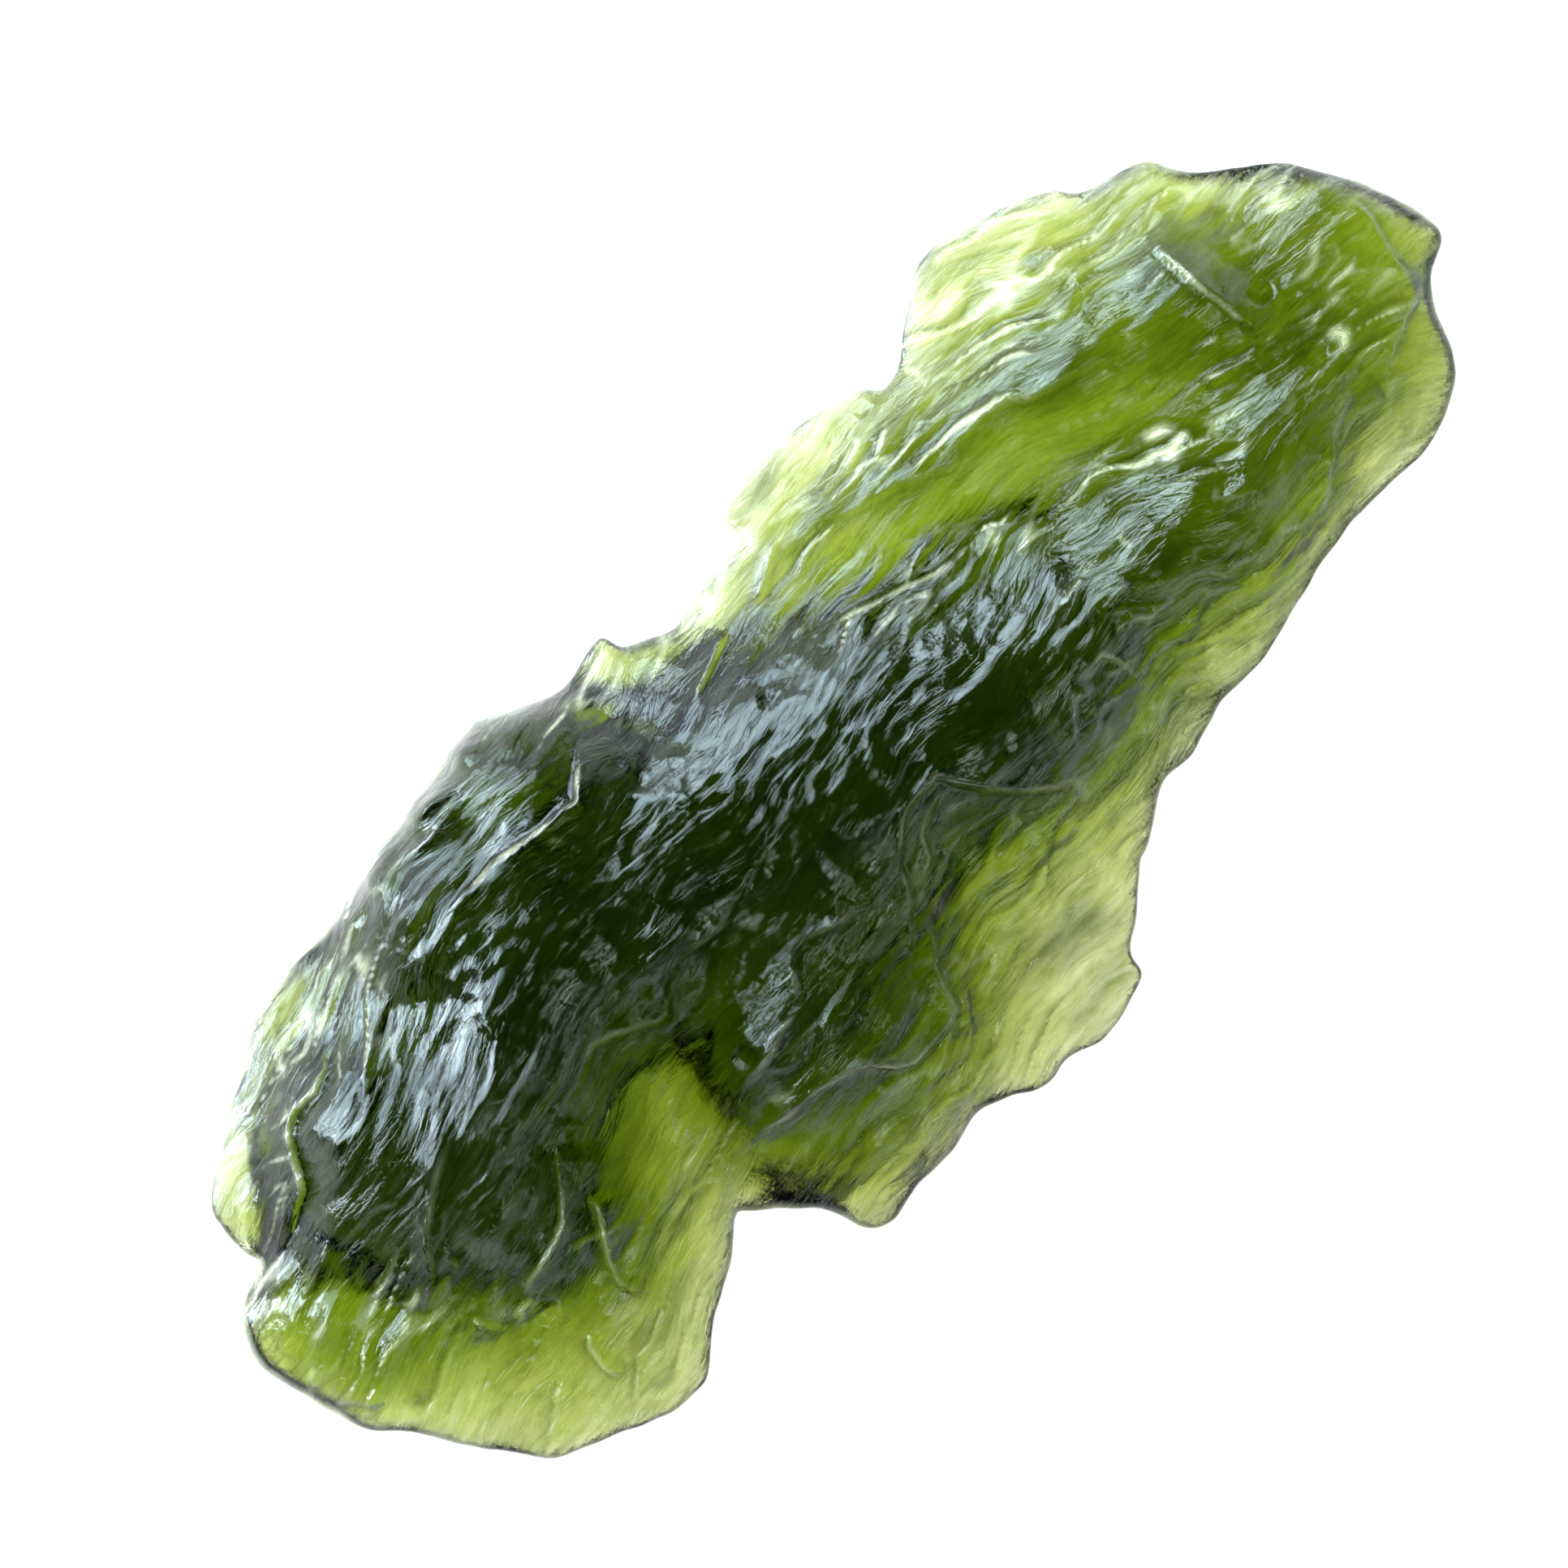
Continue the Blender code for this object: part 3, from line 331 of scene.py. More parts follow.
# How fast a scoop rises from its middle, and how wide its rim is, as a share of its size
SCOOP_RISE, SCOOP_RIM = 1.4, 0.14

# Noise that makes scoops and wear uneven: its size, mean, strength, and lowest and highest value
UNEVEN = (3.0, 0.8, 0.8, 0.3, 1.4)
PATCHY = (0.8, 0.3, 1.8, 0, 1)
LEDGE_PATCHES = (0.6, 0.7, 1.3, 0.1, 1)
RIM_PATCHES = (0.9, 0.7, 1, 0.2, 1)

# The mean height of the front's scoops, which comes off again
FRONT_MEAN = 0.15

# The hollows of the back start where it is this deep, with a depth over which they grow, and their
# middling scoops have one height where it is thin and some more where it is deep
HOLLOWS_FROM, HOLLOWS_OVER = 0.8, 1.2
BACK_MIDDLING, BACK_MIDDLING_MORE = 0.06, 0.16

# How worn the rims of the fine forms and of the ledges are, and the width of the stone's worn edge
WIDE_WEAR, MIDDLING_WEAR, CRUMPLE_WEAR, LEDGE_WEAR = 0.8, 0.5, 0.35, 0.65
WORN_EDGE = 0.14

# Ripples: how sharp their crests are, how low they reach, from where and over which rise a crest is worn,
# and how worn it is at least and with patchy wear
RIPPLE_SHARPNESS, RIPPLE_LOWEST = 3, -0.5
RIPPLE_WEAR_FROM, RIPPLE_WEAR_OVER = 0.7, 0.3
RIPPLE_WEAR, RIPPLE_PATCHY_WEAR = 0.3, 0.5

# Painted shade in the middles of scoops, below these heights, and between ripples, and how strong each is
WIDE_SHADE_BELOW, WIDE_SHADE = 0.45, 1.2
MIDDLING_SHADE_BELOW, MIDDLING_SHADE = 0.35, 0.5
RIPPLE_SHADE = 0.5

# Thick glass shows less wear: the wear of the thinnest, what each millimetre takes away, and the least
THIN_WEAR, WEAR_LOSS, LEAST_WEAR = 1.6, 0.45, 0.25

# Steps along the flow: their distance and height, the noise that bends them, as its amounts, lengths and
# widths, and over which shares of the distance each rises, falls and is worn
STEP_SPACING, STEP_HEIGHT = 0.75, 0.15
STEP_BENDS = ((1.3, 3.5, 1.5), (0.35, 0.9, 0.5))
STEP_RISE, STEP_FALL, STEP_RIM = 0.82, 0.18, 0.10

# Where there are steps: length, width, mean and strength of that noise
STEP_PLACES = (1.8, 0.8, 0.45, 1.7)

# Glass: how much red, green and blue passes, how strongly it absorbs per metre, and its refraction
GLASS_TINT = (0.644, 0.72, 0.05)
GLASS_DENSITY = 2050
GLASS_IOR = 1.49
REFLECTION_TINT = (0.50, 0.58, 0.62)

# Colours of the surface: olive to clear streaks by their noise, painted shade below rims, in hollows and
# between ripples, and worn rims
STREAK_COLOURS = ((0.36, (0.60, 0.68, 0.40)), (0.56, (0.99, 1.0, 0.95)))
PAINTED_SHADE_COLOUR = (0.06, 0.09, 0.005)
WORN_COLOUR = (0.88, 0.94, 0.56)

# Roughness by the noise of the streaks, and share of clear glass by wear: from these values to those
STREAK_ROUGHNESS = ((0.35, 0.7), (0.02, 0.13))
WORN_CLEARNESS = ((0.15, 0.9), (1.0, 0.68))

# Streaks per millimetre along the flow, across it and upwards, pits per metre, and their depths in metres
STREAK_DENSITY = (1.1, 5.5, 1.1)
SKIN_DENSITY = 9000.0
STREAK_DEPTH, SKIN_DEPTH, SKIN_STRENGTH = 0.00007, 0.00002, 0.4

# Sockets of a Mix node that mixes colours: the share, the two colours and the result
MIX_SHARE, MIX_FIRST, MIX_SECOND, MIX_RESULT = 0, 6, 7, 2

# Floor, in metres, and sky: how bright it is at these heights
FLOOR_HALF_SIZE = 1.5
FLOOR_SINK = 0.00002
FLOOR_COLOUR = (0.28, 0.28, 0.27)
FLOOR_GLOW_COLOUR = (1, 1, 0.98)
FLOOR_GLOW = 0.95
FLOOR_ROUGHNESS, FLOOR_GLOSS = 0.6, 0.2
SKY_COLOURS = ((0.05, (0.16, 0.17, 0.17)), (0.6, (0.04, 0.045, 0.05)))

# Soft lights: name, compass direction and elevation in degrees, width and height in metres, watts, colour
SOFTBOX_DISTANCE = 0.20
SOFTBOXES = [
    ("key", 96, 22, 0.42, 0.11, 2.8, (0.82, 0.94, 1.0)),
    ("flank", 122, 8, 0.14, 0.05, 0.60, (0.86, 0.95, 1.0)),
    ("high", 100, 50, 0.08, 0.05, 0.14, (0.9, 0.97, 1.0)),
    ("fill", 265, 43, 0.10, 0.06, 0.14, (1.0, 0.98, 0.88)),
]

# Camera, in millimetres and degrees: lens, sensor, and the place, height and width of what it frames
LENS, SENSOR_WIDTH = 150, 36
AIM = (-0.726, 1.498)
AIM_HEIGHT, AIM_WIDTH = 2.8, 34.776
CAMERA_TURN = -50

# Nearest and farthest that the camera sees, in metres
CLIP_START, CLIP_END = 0.01, 10


def smooth_closed_line(points, step):
    """Points about step apart on a Catmull-Rom curve through the given ones, closed."""
    points = np.array(points, float)
    made = []
    for i in range(len(points)):
        a, b, c, d = (points[(i + k) % len(points)] for k in (-1, 0, 1, 2))
        count = max(1, round(np.linalg.norm(c - b) / step))
        for t in np.arange(count) / count:
            curve = 2 * b + (c - a) * t + (2 * a - 5 * b + 4 * c - d) * t**2
            made.append(0.5 * (curve + (3 * b - a - 3 * c + d) * t**3))
    return np.array(made)


def distance_to_outline(points, outline):
    """Distance of each point to the closed outline of straight runs."""
    runs = np.roll(outline, -1, axis=0) - outline
    best = np.full(len(points), np.inf)
    for start, run in zip(outline, runs):
        share = np.clip((points - start) @ run / (run @ run), 0, 1)
        away = np.linalg.norm(points - start - share[:, None] * run, axis=1)
        best = np.minimum(best, away)
    return best


def inside(points, outline):
    """Which points lie inside the closed outline."""
    x, y = points[:, 0], points[:, 1]
    crossings = np.zeros(len(points), int)
    for (x0, y0), (x1, y1) in zip(outline, np.roll(outline, -1, axis=0)):
        between = (y0 > y) != (y1 > y)
        if y0 != y1:
            crossings += between & (x < x0 + (y - y0) * (x1 - x0) / (y1 - y0))
    return crossings % 2 == 1


def noise_at(points, scale, layer):
    """Smooth noise from -1 to 1 at each point, with features about scale wide. Each layer differs."""
    return np.array([noise.noise(Vector((x / scale, y / scale, layer * NOISE_GAP))) for x, y in points])


def stretched_noise(points, length, width, layer):
    """Noise with features length long along the flow and width wide across it."""
    spots = [Vector((a / length, b / width, STRETCHED_GAP * layer)) for a, b in points]
    return np.array([noise.noise(spot) for spot in spots])


def patches(points, layer, scale, mean, strength, low, high):
    """Noise around a mean, kept between its lowest and highest value."""
    return np.clip(mean + strength * noise_at(points, scale, layer), low, high)


def warped(points, layer):
    """The points shifted a little by noise, so that the forms there get uneven borders."""
    moved = points.copy()
    for k, (scale, amount) in enumerate(WARP_SCALES):
        moved[:, 0] += amount * noise_at(points, scale, layer + 2 * k)
        moved[:, 1] += amount * noise_at(points, scale, layer + 2 * k + 1)
    return moved


def edge_height(points):
    """Height of the plane in which the stone's edge lies, which wanders up and down along the outline."""
    spots = np.array(EDGE_HEIGHTS)
    away = np.linalg.norm(points[:, None, :] - spots[None, :, :2], axis=2)
    weight = 1 / (away**2 + EDGE_BLEND**2)
    return weight @ spots[:, 2] / weight.sum(1)


def bent_sheet(spots):
    """The weights of a thin bent plate that passes through these spots: x, y, height."""
    spots = np.array(spots, float)
    away = np.linalg.norm(spots[:, None, :2] - spots[None, :, :2], axis=2)
    plane = np.column_stack([np.ones(len(spots)), spots[:, :2]])
    rows = np.block([[plate_bend(away), plane], [plane.T, np.zeros((3, 3))]])
    weights = np.linalg.solve(rows, np.concatenate([spots[:, 2], np.zeros(3)]))
    return spots[:, :2], weights


def plate_bend(distance):
    """How a thin plate bends at a distance from a load."""
    return distance**2 * np.log(np.maximum(distance, 1e-9))


def sheet_at(points, sheet):
    """Height of a bent sheet at each point."""
    spots, weights = sheet
    away = np.linalg.norm(points[:, None, :] - spots[None], axis=2)
    plane = np.column_stack([np.ones(len(points)), points])
    return plate_bend(away) @ weights[:-3] + plane @ weights[-3:]


def blank_sheet(heights, outline):
    """The bent sheet through the listed heights, held low all round the outline."""
    spots = list(heights)
    listed = np.array(heights)[:, :2]
    last = None
    for x, y in outline:
        if last is not None and math.hypot(x - last[0], y - last[1]) < EDGE_SPACING:
            continue
        if np.linalg.norm(listed - (x, y), axis=1).min() < EDGE_CLEARANCE * EDGE_SPACING:
            continue
        spots.append((x, y, EDGE_BLANK))
        last = (x, y)
    return bent_sheet(spots)


def sheet_offset(points, to_edge, blank):
    """How far a sheet without relief stands off the edge's plane, rounded off at the edge."""
    rounding = np.sqrt(1 - (1 - np.clip(to_edge / EDGE_ROUNDING, 0, 1)) ** 2)
    return np.maximum(sheet_at(points, blank), THINNEST / 2) * rounding


def plan_points(outline, step):
    """Points of an uneven triangular grid well inside the outline."""
    rows = np.arange(outline[:, 1].min(), outline[:, 1].max(), step * math.sqrt(3) / 2)
    columns = np.arange(outline[:, 0].min(), outline[:, 0].max(), step)
    points = np.array([(x + (i % 2) * step / 2, y) for i, y in enumerate(rows) for x in columns])
    points[:, 0] += GRID_JITTER * step * noise_at(points, step * JITTER_SCALE, GRID_LAYER)
    points[:, 1] += GRID_JITTER * step * noise_at(points, step * JITTER_SCALE, GRID_LAYER + 1)
    points = points[inside(points, outline)]
    return points[distance_to_outline(points, outline) > FINE_RINGS[-1] + GRID_MARGIN * step]


def ring_points(outline, inset):
    """Points inset from the outline, leaving out those that crowd in its notches."""
    along = np.roll(outline, -1, axis=0) - np.roll(outline, 1, axis=0)
    inward = np.stack([-along[:, 1], along[:, 0]], 1) / np.linalg.norm(along, axis=1)[:, None]
    points = outline + inward * inset
    to_edge = distance_to_outline(points, outline)
    return points[(to_edge > RING_CROWDING * inset) & inside(points, outline)]


def triangulated(outline, points):
    """Triangles between the points, of which the first ones are the outline in order."""
    everything = [Vector(p) for p in points]
    edges = [(i, (i + 1) % len(outline)) for i in range(len(outline))]
    _, _, faces, sources, _, _ = delaunay_2d_cdt(everything, edges, [], 1, 1e-6)
    if any(len(source) != 1 for source in sources):
        raise ValueError("two points of the plan lie on each other")
    order = [source[0] for source in sources]
    return [tuple(order[i] for i in face) for face in faces]


def beside_line(points, line):
    """Distance of each point to an open line, its side of it, and its place along it from 0 to 1."""
    starts, runs = line[:-1], np.diff(line, axis=0)
    best = np.full(len(points), np.inf)
    side = np.zeros(len(points))
    place = np.zeros(len(points))
    for i, (start, run) in enumerate(zip(starts, runs)):
        away = points - start
        share = np.clip(away @ run / (run @ run), 0, 1)
        distance = np.linalg.norm(away - share[:, None] * run, axis=1)
        nearer = distance < best
        best[nearer] = distance[nearer]
        side[nearer] = (run[0] * away[:, 1] - run[1] * away[:, 0])[nearer]
        place[nearer] = (i + share)[nearer] / len(runs)
    return best, side, place


def ledge_relief(points):
    """Height that the ledges add at each point, how worn their rims are there, and the painted shade before
    them.
    """
    total, worn, painted_shade = np.zeros((3, len(points)))
    for height, slope, line in LEDGES:
        line = np.array(line, float)
        reach = 4 * slope
        near = np.all((points > line.min(0) - reach) & (points < line.max(0) + reach), axis=1)
        distance, side, place = beside_line(points[near], line)
        behind = np.exp(-distance / slope)
        before = np.clip(1 - distance / LEDGE_DROP, 0, 1) ** 2
        ends = np.clip(np.minimum(place, 1 - place) * 5 + 0.1, 0, 1)
        total[near] += LEDGE_STRENGTH * height * ends * np.where(side > 0, behind, before)
        rim = ends * np.exp(-(distance / LEDGE_WORN_WIDTH) ** 2) * min(1, height / FULLY_WORN_HEIGHT)
        worn[near] = np.maximum(worn[near], rim)
        # Painted shade on the low side before a ledge's rim
        dark = np.clip(distance / LEDGE_SHADE_FROM, 0, 1) * np.exp(-distance / LEDGE_SHADE_REACH)
        dark = np.where(side > 0, 0, dark) * min(1, height / FULLY_DARK_HEIGHT)
        painted_shade[near] = np.maximum(painted_shade[near], ends * dark)
    return total, worn, painted_shade


def pit_relief(points):
    """Height that the small pits take away at each point, below zero."""
    total = np.zeros(len(points))
    for x, y, radius, depth in PITS:
        share = np.clip(1 - ((points - (x, y)) ** 2).sum(1) / radius**2, 0, 1)
        total -= depth * share
    return total


def flow_coordinates(points):
    """Coordinates along and across the flow lines, which run along the stone and bend with it."""
    x, y = points[:, 0], points[:, 1]
    bend = np.zeros(len(points))
    for k, (scale, amount) in enumerate(FLOW_BENDS):
        bend += amount * noise_at(points, scale, FLOW_LAYER + k)
    curve = FLOW_CURVE * (x - FLOW_CURVE_FROM) ** 2 * np.where(x > FLOW_CURVE_FROM, 1, FLOW_CURVE_LEFT)
    return np.stack([x + FLOW_PULL * bend, y + curve + bend], 1)


def place_share(points, places):
    """How much of each point lies in the listed ellipses, from 0 to 1, with soft uneven borders."""
    moved = warped(points, PLACE_WARP_LAYER)
    most = np.zeros(len(points))
    for x, y, half_length, half_width, turn, share in places:
        away = moved - (x, y)
        c, s = math.cos(math.radians(turn)), math.sin(math.radians(turn))
        along = (away[:, 0] * c + away[:, 1] * s) / half_length
        across = (away[:, 1] * c - away[:, 0] * s) / half_width
        within = PLACE_REACH - np.hypot(along, across)
        most = np.maximum(most, share * np.clip(PLACE_STEEPNESS * within, 0, 1))
    return most


def scoops(flow, form, layer):
    """Overlapping hollows of this form: their heights, 0 in a middle and 1 at most, and how near a rim is."""
    height = SCOOP_GAP * (layer + form.layer)
    spots = [Vector((a / form.length, b / form.width, height)) for a, b in flow]
    nearest, second = np.array([noise.voronoi(spot)[0][:2] for spot in spots]).T
    return np.clip(SCOOP_RISE * nearest**2, 0, 1), np.clip(1 - (second - nearest) / SCOOP_RIM, 0, 1)


def flow_steps(flow, layer):
    """Wavy steps along the flow, like shingles: their heights, the wear of their rims and the painted shade
    below.
    """
    phase = flow[:, 1] / STEP_SPACING
    for k, (amount, length, width) in enumerate(STEP_BENDS):
        phase += amount * stretched_noise(flow, length, width, layer + k)
    rise = phase - np.floor(phase)
    length, width, mean, strength = STEP_PLACES
    present = mean + strength * stretched_noise(flow, length, width, layer + len(STEP_BENDS))
    present = np.clip(present, 0, 1)
    heights = STEP_HEIGHT * np.where(rise < STEP_RISE, rise / STEP_RISE, (1 - rise) / STEP_FALL)
    rims = np.clip(1 - np.abs(rise - STEP_RISE) / STEP_RIM, 0, 1)
    # Painted shade just below each step's drop
    below = np.clip(1 - rise / 0.5, 0, 1) + np.clip((rise - 0.9) / 0.1, 0, 1)
    return present * heights, present * rims, present * below


def fine_relief(points, front, offset):
    """Flow lines and sharp-rimmed hollows in millimetres, their wear and painted shade, and how crumpled they
    are.
    """
    flow = flow_coordinates(points)
    layer = FRONT_LAYER if front else BACK_LAYER
    calm = place_share(points, CALM_PLACES) if front else np.zeros(len(points))
    rough = place_share(points, CRUMPLED_PLACES) if front else np.full(len(points), BACK_CRUMPLED)
    smooth = 1 - CALM_TAKES["wear"] * calm

    ripple = stretched_noise(flow, RIPPLES.length, RIPPLES.width, layer + RIPPLES.layer)
    ripple = np.clip(1 - RIPPLE_SHARPNESS * np.abs(ripple), RIPPLE_LOWEST, 1)
    lines = LINES.height * stretched_noise(flow, LINES.length, LINES.width, layer + LINES.layer)
    lines = (1 - CRUMPLED_TAKES["lines"] * rough) * (lines + RIPPLES.height * ripple)
    wide, wide_rim = scoops(flow, WIDE_SCOOPS, layer)
    middling, middling_rim = scoops(flow, MIDDLING_SCOOPS, layer)
    small, _ = scoops(flow, SMALL_SCOOPS, layer)
    crumple, crumple_rim = scoops(points, CRUMPLES, layer)
    uneven = patches(points, layer + UNEVEN_LAYER, *UNEVEN)
    bare = (1 - CALM_TAKES["scoops"] * calm) * (1 - CRUMPLED_TAKES["scoops"] * rough) * uneven
    if front:
        fine = WIDE_SCOOPS.height * wide + MIDDLING_SCOOPS.height * middling + SMALL_SCOOPS.height * small
        relief = lines + bare * fine + CRUMPLES.height * rough * crumple - FRONT_MEAN
    else:
        hollow, _ = scoops(flow, BACK_HOLLOWS, layer)
        deep = np.clip((offset - HOLLOWS_FROM) / HOLLOWS_OVER, 0, 1)
        hollow = BACK_HOLLOWS.height * deep * (hollow - 1)
        fine = (BACK_MIDDLING + BACK_MIDDLING_MORE * deep) * middling
        relief = lines + uneven * (hollow + fine + SMALL_SCOOPS.height * small)

    patchy = patches(points, layer + PATCHY_LAYER, *PATCHY)
    rims = bare * np.maximum(WIDE_WEAR * wide_rim, MIDDLING_WEAR * middling_rim)
    worn = patchy * np.maximum(rims, CRUMPLE_WEAR * rough * crumple_rim)
    crest = np.clip((ripple - RIPPLE_WEAR_FROM) / RIPPLE_WEAR_OVER, 0, 1)
    worn = np.maximum(worn, (1 - rough) * (RIPPLE_WEAR + RIPPLE_PATCHY_WEAR * patchy) * crest)
    # Painted shade: darker in the middles of scoops and between ripples
    painted_shade = (1 - CALM_TAKES["painted_shade"] * calm) * np.clip(WIDE_SHADE * (WIDE_SHADE_BELOW - wide), 0, 1)
    painted_shade += (1 - calm) * MIDDLING_SHADE * np.clip(MIDDLING_SHADE_BELOW - middling, 0, 1)
    painted_shade += RIPPLE_SHADE * np.clip(-ripple, 0, 1)
    if front:
        steps, step_worn, step_painted_shade = flow_steps(flow, layer + STEP_LAYER)
        share = (1 - CRUMPLED_TAKES["steps"] * rough) * (1 - CALM_TAKES["steps"] * calm)
        relief += share * steps
        worn = np.maximum(smooth * worn, smooth * share * step_worn)
        painted_shade = np.maximum(painted_shade, share * step_painted_shade)
    thin = np.clip(THIN_WEAR - WEAR_LOSS * offset, LEAST_WEAR, 1)
    return relief, np.clip(thin * worn, 0, 1), np.clip(painted_shade, 0, 1), rough


def build_side(outline, front, step):
    """Points, heights and triangles of one sheet of the stone, and its marks for the material."""
    rings = np.vstack([ring_points(outline, inset) for inset in FINE_RINGS])
    points = np.vstack([outline, rings, plan_points(outline, step)])
    sheet = triangulated(outline, points)
    to_edge = distance_to_outline(points, outline)
    middle = edge_height(points)
    blank = blank_sheet(FRONT_HEIGHTS if front else BACK_HEIGHTS, outline)
    offset = sheet_offset(warped(points, FRONT_WARP_LAYER if front else BACK_WARP_LAYER), to_edge, blank)
    if front:
        offset *= FRONT_RISE
    inner = np.clip((offset - RELIEF_FROM) / RELIEF_OVER, 0, 1) * np.clip(to_edge / RELIEF_MARGIN, 0, 1)
    relief, worn, painted_shade, rough = fine_relief(points, front, offset)
    if front:
        ledges, ledge_worn, ledge_painted_shade = ledge_relief(warped(points, LEDGE_WARP_LAYER))
        relief += ledges + pit_relief(points)
        patchy = patches(points, LEDGE_WEAR_LAYER, *LEDGE_PATCHES)
        worn = np.maximum(worn, LEDGE_WEAR * ledge_worn * patchy)
        painted_shade = np.maximum(painted_shade, ledge_painted_shade)
    patchy = patches(points, RIM_WEAR_LAYER, *RIM_PATCHES)
    worn = np.maximum(worn, np.exp(-((to_edge / WORN_EDGE) ** 2)) * patchy)
    offset = np.maximum(offset + inner * relief, np.minimum(offset, THINNEST / 2))
    offset[: len(outline)] = 0
    heights = middle + offset if front else np.maximum(middle - offset, REST_LEVEL)
    marks = {
        "wear": worn,
        "painted_shade": painted_shade,
        "streakiness": 1 - CRUMPLED_TAKES["bump"] * rough,
        "flow": np.column_stack([flow_coordinates(points), heights]),
    }
    return points, heights, sheet, marks


def both_sides(outline):
    """Vertices, triangles and marks of the two sheets, which share the outline's points."""
    count = len(outline)
    vertices, faces, marks = np.zeros((0, 3)), [], {}
    for front, step in ((True, FRONT_STEP), (False, BACK_STEP)):
        points, heights, sheet, side_marks = build_side(outline, front, step)
        # The back's own points come after those of the front
        start, shift = (0, 0) if front else (count, len(vertices) - count)
        for face in sheet:
            corners = [i if i < count else i + shift for i in face]
            faces.append(corners if front else corners[::-1])
        vertices = np.vstack([vertices, np.column_stack([points[start:], heights[start:]])])
        for name, values in side_marks.items():
            marks.setdefault(name, []).append(values[start:])
    return vertices, faces, {name: np.concatenate(values) for name, values in marks.items()}


def build_stone():
    """The fine mesh of the stone, in the place of the CAD solid and inside its box, and the box's middle."""
    coarse = smooth_closed_line(OUTLINE, OUTLINE_STEP)
    outline = smooth_closed_line(OUTLINE, FINE_OUTLINE_STEP)
    scale, amount = OUTLINE_RIPPLE
    for line in (coarse, outline):
        line += amount * np.stack([noise_at(line, scale, OUTLINE_LAYER + k) for k in (0, 1)], 1)
    # The coarse outline is that of the solid, which is centred by its box
    centre = (coarse.min(0) + coarse.max(0)) / 2
    vertices, faces, marks = both_sides(outline)
    vertices -= (centre[0], centre[1], REST_LEVEL)
    vertices *= MM
    low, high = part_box("moldavite")
    vertices = np.clip(vertices, low, high)

    mesh = bpy.data.meshes.new("stone")
    mesh.from_pydata(vertices.tolist(), [], faces)
    mesh.validate()
    mesh.shade_smooth()
    for name, values in marks.items():
        kind, field = ("FLOAT", "value") if values.ndim == 1 else ("FLOAT_VECTOR", "vector")
        mesh.attributes.new(name, kind, "POINT").data.foreach_set(field, values.ravel())
    stone = bpy.data.objects.new("stone", mesh)
    bpy.context.scene.collection.objects.link(stone)
    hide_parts("moldavite")
    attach(stone, "root")
    return stone, centre


def new_material(name):
    """A new material, its tree of nodes and its surface node."""
    material = bpy.data.materials.new(name)
    material.use_nodes = True
    return material, material.node_tree, material.node_tree.nodes["Principled BSDF"]


def add(tree, kind, **values):
    """A new shader node with these input values."""
    node = tree.nodes.new(kind)
    for name, value in values.items():
        node.inputs[name.replace("_", " ")].default_value = value
    return node


def mark(tree, name):
    """A shader node that reads one of the mesh's marks."""
    node = tree.nodes.new("ShaderNodeAttribute")
    node.attribute_name = name
    return node


def ramp(tree, source, stops):
    """The colours of a ramp between two stops, each a place and a colour."""
    node = tree.nodes.new("ShaderNodeValToRGB")
    for element, (place, colour) in zip(node.color_ramp.elements, stops):
        element.position = place
        element.color = (*colour, 1)
    tree.links.new(source, node.inputs["Fac"])
    return node.outputs["Color"]


def mixed(tree, share, first, colour):
    """Colours that turn into this one by a share."""
    node = tree.nodes.new("ShaderNodeMix")
    node.data_type = "RGBA"
    tree.links.new(share, node.inputs[MIX_SHARE])
    tree.links.new(first, node.inputs[MIX_FIRST])
    node.inputs[MIX_SECOND].default_value = (*colour, 1)
    return node.outputs[MIX_RESULT]


def mapped(tree, source, values):
    """Values turned from one range into another."""
    (from_min, from_max), (to_min, to_max) = values
    node = add(tree, "ShaderNodeMapRange", From_Min=from_min, From_Max=from_max, To_Min=to_min, To_Max=to_max)
    tree.links.new(source, node.inputs["Value"])
    return node.outputs["Result"]


def streak_noise(tree):
    """Noise in streaks along the flow lines."""
    mapping = add(tree, "ShaderNodeMapping", Scale=STREAK_DENSITY)
    tree.links.new(mark(tree, "flow").outputs["Vector"], mapping.inputs["Vector"])
    streaks = add(tree, "ShaderNodeTexNoise", Scale=1.0, Detail=4.0, Roughness=0.6, Distortion=0.6)
    tree.links.new(mapping.outputs["Vector"], streaks.inputs["Vector"])
    return streaks.outputs["Fac"]


def glass_bump(tree, streaks):
    """The streaks and a skin of tiny pits, both finer than the mesh."""
    coarse = add(tree, "ShaderNodeBump", Distance=STREAK_DEPTH)
    tree.links.new(streaks, coarse.inputs["Height"])
    tree.links.new(mark(tree, "streakiness").outputs["Fac"], coarse.inputs["Strength"])
    skin = add(tree, "ShaderNodeTexNoise", Scale=SKIN_DENSITY, Detail=3.0, Roughness=0.6)
    place = tree.nodes.new("ShaderNodeTexCoord")
    tree.links.new(place.outputs["Object"], skin.inputs["Vector"])
    fine = add(tree, "ShaderNodeBump", Strength=SKIN_STRENGTH, Distance=SKIN_DEPTH)
    tree.links.new(skin.outputs["Fac"], fine.inputs["Height"])
    tree.links.new(coarse.outputs["Normal"], fine.inputs["Normal"])
    return fine.outputs["Normal"]


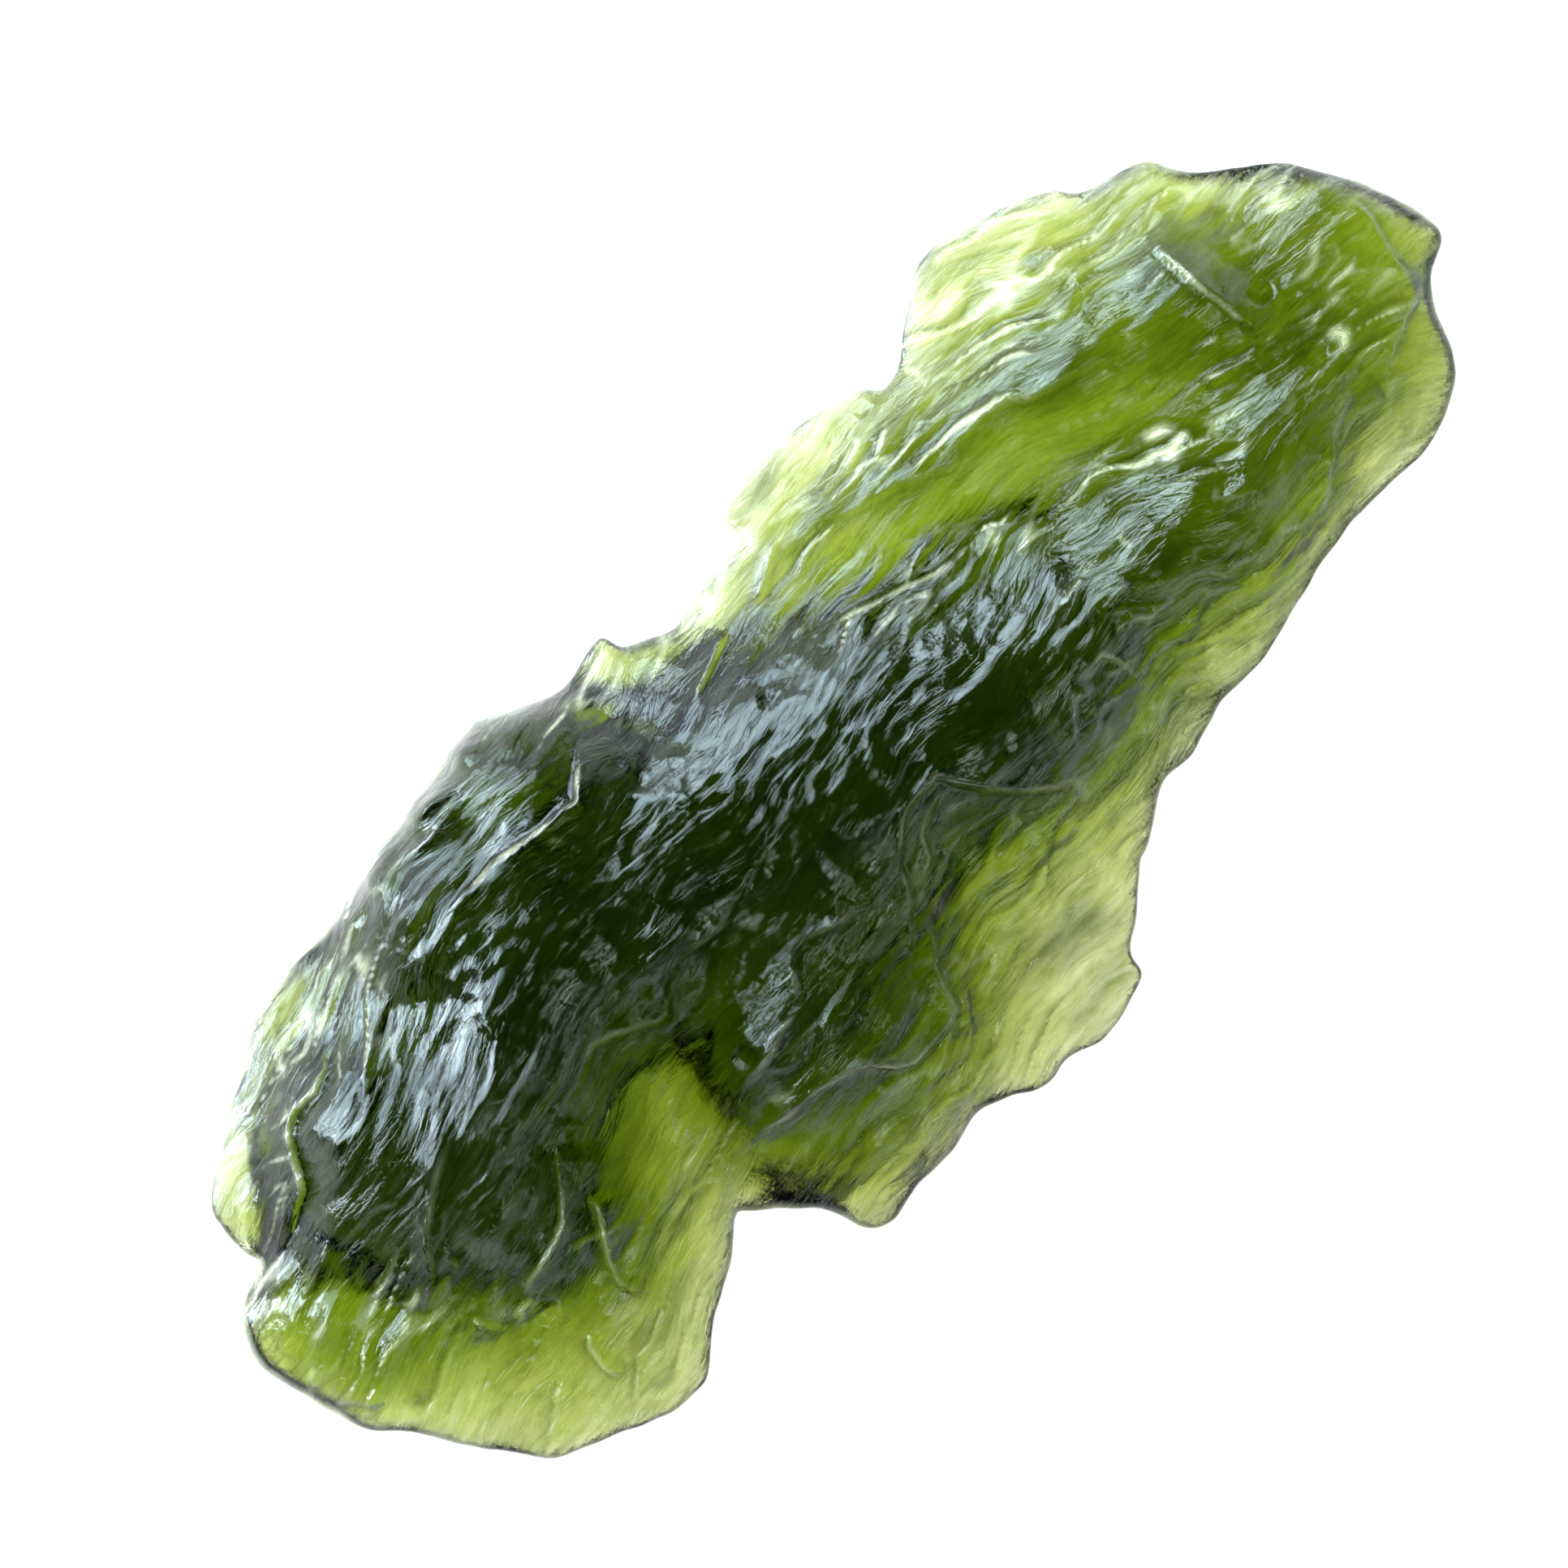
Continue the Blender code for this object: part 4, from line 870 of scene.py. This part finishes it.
def glass_material():
    """Clear green glass with fine flow lines, brighter and duller streaks and a skin of tiny pits."""
    material, tree, surface = new_material("moldavite_glass")
    surface.inputs["IOR"].default_value = GLASS_IOR
    surface.inputs["Transmission Weight"].default_value = 1.0
    surface.inputs["Specular Tint"].default_value = (*REFLECTION_TINT, 1)
    streaks = streak_noise(tree)
    wear = mark(tree, "wear").outputs["Fac"]
    colour = ramp(tree, streaks, STREAK_COLOURS)
    # Painted shade: the colour turns dark below rims, in the middles of scoops and between ripples
    colour = mixed(tree, mark(tree, "painted_shade").outputs["Fac"], colour, PAINTED_SHADE_COLOUR)
    colour = mixed(tree, wear, colour, WORN_COLOUR)
    tree.links.new(colour, surface.inputs["Base Color"])
    tree.links.new(mapped(tree, streaks, STREAK_ROUGHNESS), surface.inputs["Roughness"])
    tree.links.new(mapped(tree, wear, WORN_CLEARNESS), surface.inputs["Transmission Weight"])
    tree.links.new(glass_bump(tree, streaks), surface.inputs["Normal"])

    body = tree.nodes.new("ShaderNodeVolumeAbsorption")
    body.inputs["Color"].default_value = (*GLASS_TINT, 1)
    body.inputs["Density"].default_value = GLASS_DENSITY
    tree.links.new(body.outputs["Volume"], tree.nodes["Material Output"].inputs["Volume"])
    return material


def add_floor():
    """A pale floor that glows, so that the light comes through the stone from below as well."""
    mesh = bpy.data.meshes.new("floor")
    half = FLOOR_HALF_SIZE
    corners = [(-half, -half, 0), (half, -half, 0), (half, half, 0), (-half, half, 0)]
    mesh.from_pydata(corners, [], [(0, 1, 2, 3)])
    floor = bpy.data.objects.new("floor", mesh)
    floor.location.z = -FLOOR_SINK
    bpy.context.scene.collection.objects.link(floor)
    paint, _, surface = new_material("floor")
    surface.inputs["Base Color"].default_value = (*FLOOR_COLOUR, 1)
    surface.inputs["Roughness"].default_value = FLOOR_ROUGHNESS
    surface.inputs["Specular IOR Level"].default_value = FLOOR_GLOSS
    surface.inputs["Emission Color"].default_value = (*FLOOR_GLOW_COLOUR, 1)
    surface.inputs["Emission Strength"].default_value = FLOOR_GLOW
    mesh.materials.append(paint)


def add_sky():
    """A sky that is brighter at the horizon than overhead."""
    world = bpy.data.worlds.new("studio")
    world.use_nodes = True
    tree = world.node_tree
    background = tree.nodes["Background"]
    place = tree.nodes.new("ShaderNodeTexCoord")
    split = tree.nodes.new("ShaderNodeSeparateXYZ")
    tree.links.new(place.outputs["Generated"], split.inputs["Vector"])
    tree.links.new(ramp(tree, split.outputs["Z"], SKY_COLOURS), background.inputs["Color"])
    background.inputs["Strength"].default_value = 1.0
    bpy.context.scene.world = world


def add_softbox(name, toward, elevation, width, height, power, colour):
    """A soft light that faces the stone from a compass direction, in degrees from +X towards +Y."""
    light = bpy.data.lights.new(name, "AREA")
    light.shape = "RECTANGLE"
    light.size, light.size_y = width, height
    light.energy = power
    light.color = colour
    lamp = bpy.data.objects.new(name, light)
    a, e = math.radians(toward), math.radians(elevation)
    out = Vector((math.cos(a) * math.cos(e), math.sin(a) * math.cos(e), math.sin(e)))
    lamp.location = out * SOFTBOX_DISTANCE
    lamp.rotation_euler = out.to_track_quat("Z", "Y").to_euler()
    lamp.visible_camera = False
    bpy.context.scene.collection.objects.link(lamp)


def add_camera(centre):
    """Straight above the stone, turned so that its length runs from lower left to upper right."""
    data = bpy.data.cameras.new("camera")
    data.lens, data.sensor_width = LENS, SENSOR_WIDTH
    data.clip_start, data.clip_end = CLIP_START, CLIP_END
    eye = bpy.data.objects.new("camera", data)
    height = AIM_HEIGHT + AIM_WIDTH * LENS / SENSOR_WIDTH
    eye.location = ((AIM[0] - centre[0]) * MM, (AIM[1] - centre[1]) * MM, height * MM)
    eye.rotation_euler = (0, 0, math.radians(CAMERA_TURN))
    bpy.context.scene.collection.objects.link(eye)
    bpy.context.scene.camera = eye


stone, centre = build_stone()
stone.data.materials.append(glass_material())
add_floor()
add_sky()
for softbox in SOFTBOXES:
    add_softbox(*softbox)
add_camera(centre)
bpy.context.scene.view_settings.view_transform = "Standard"
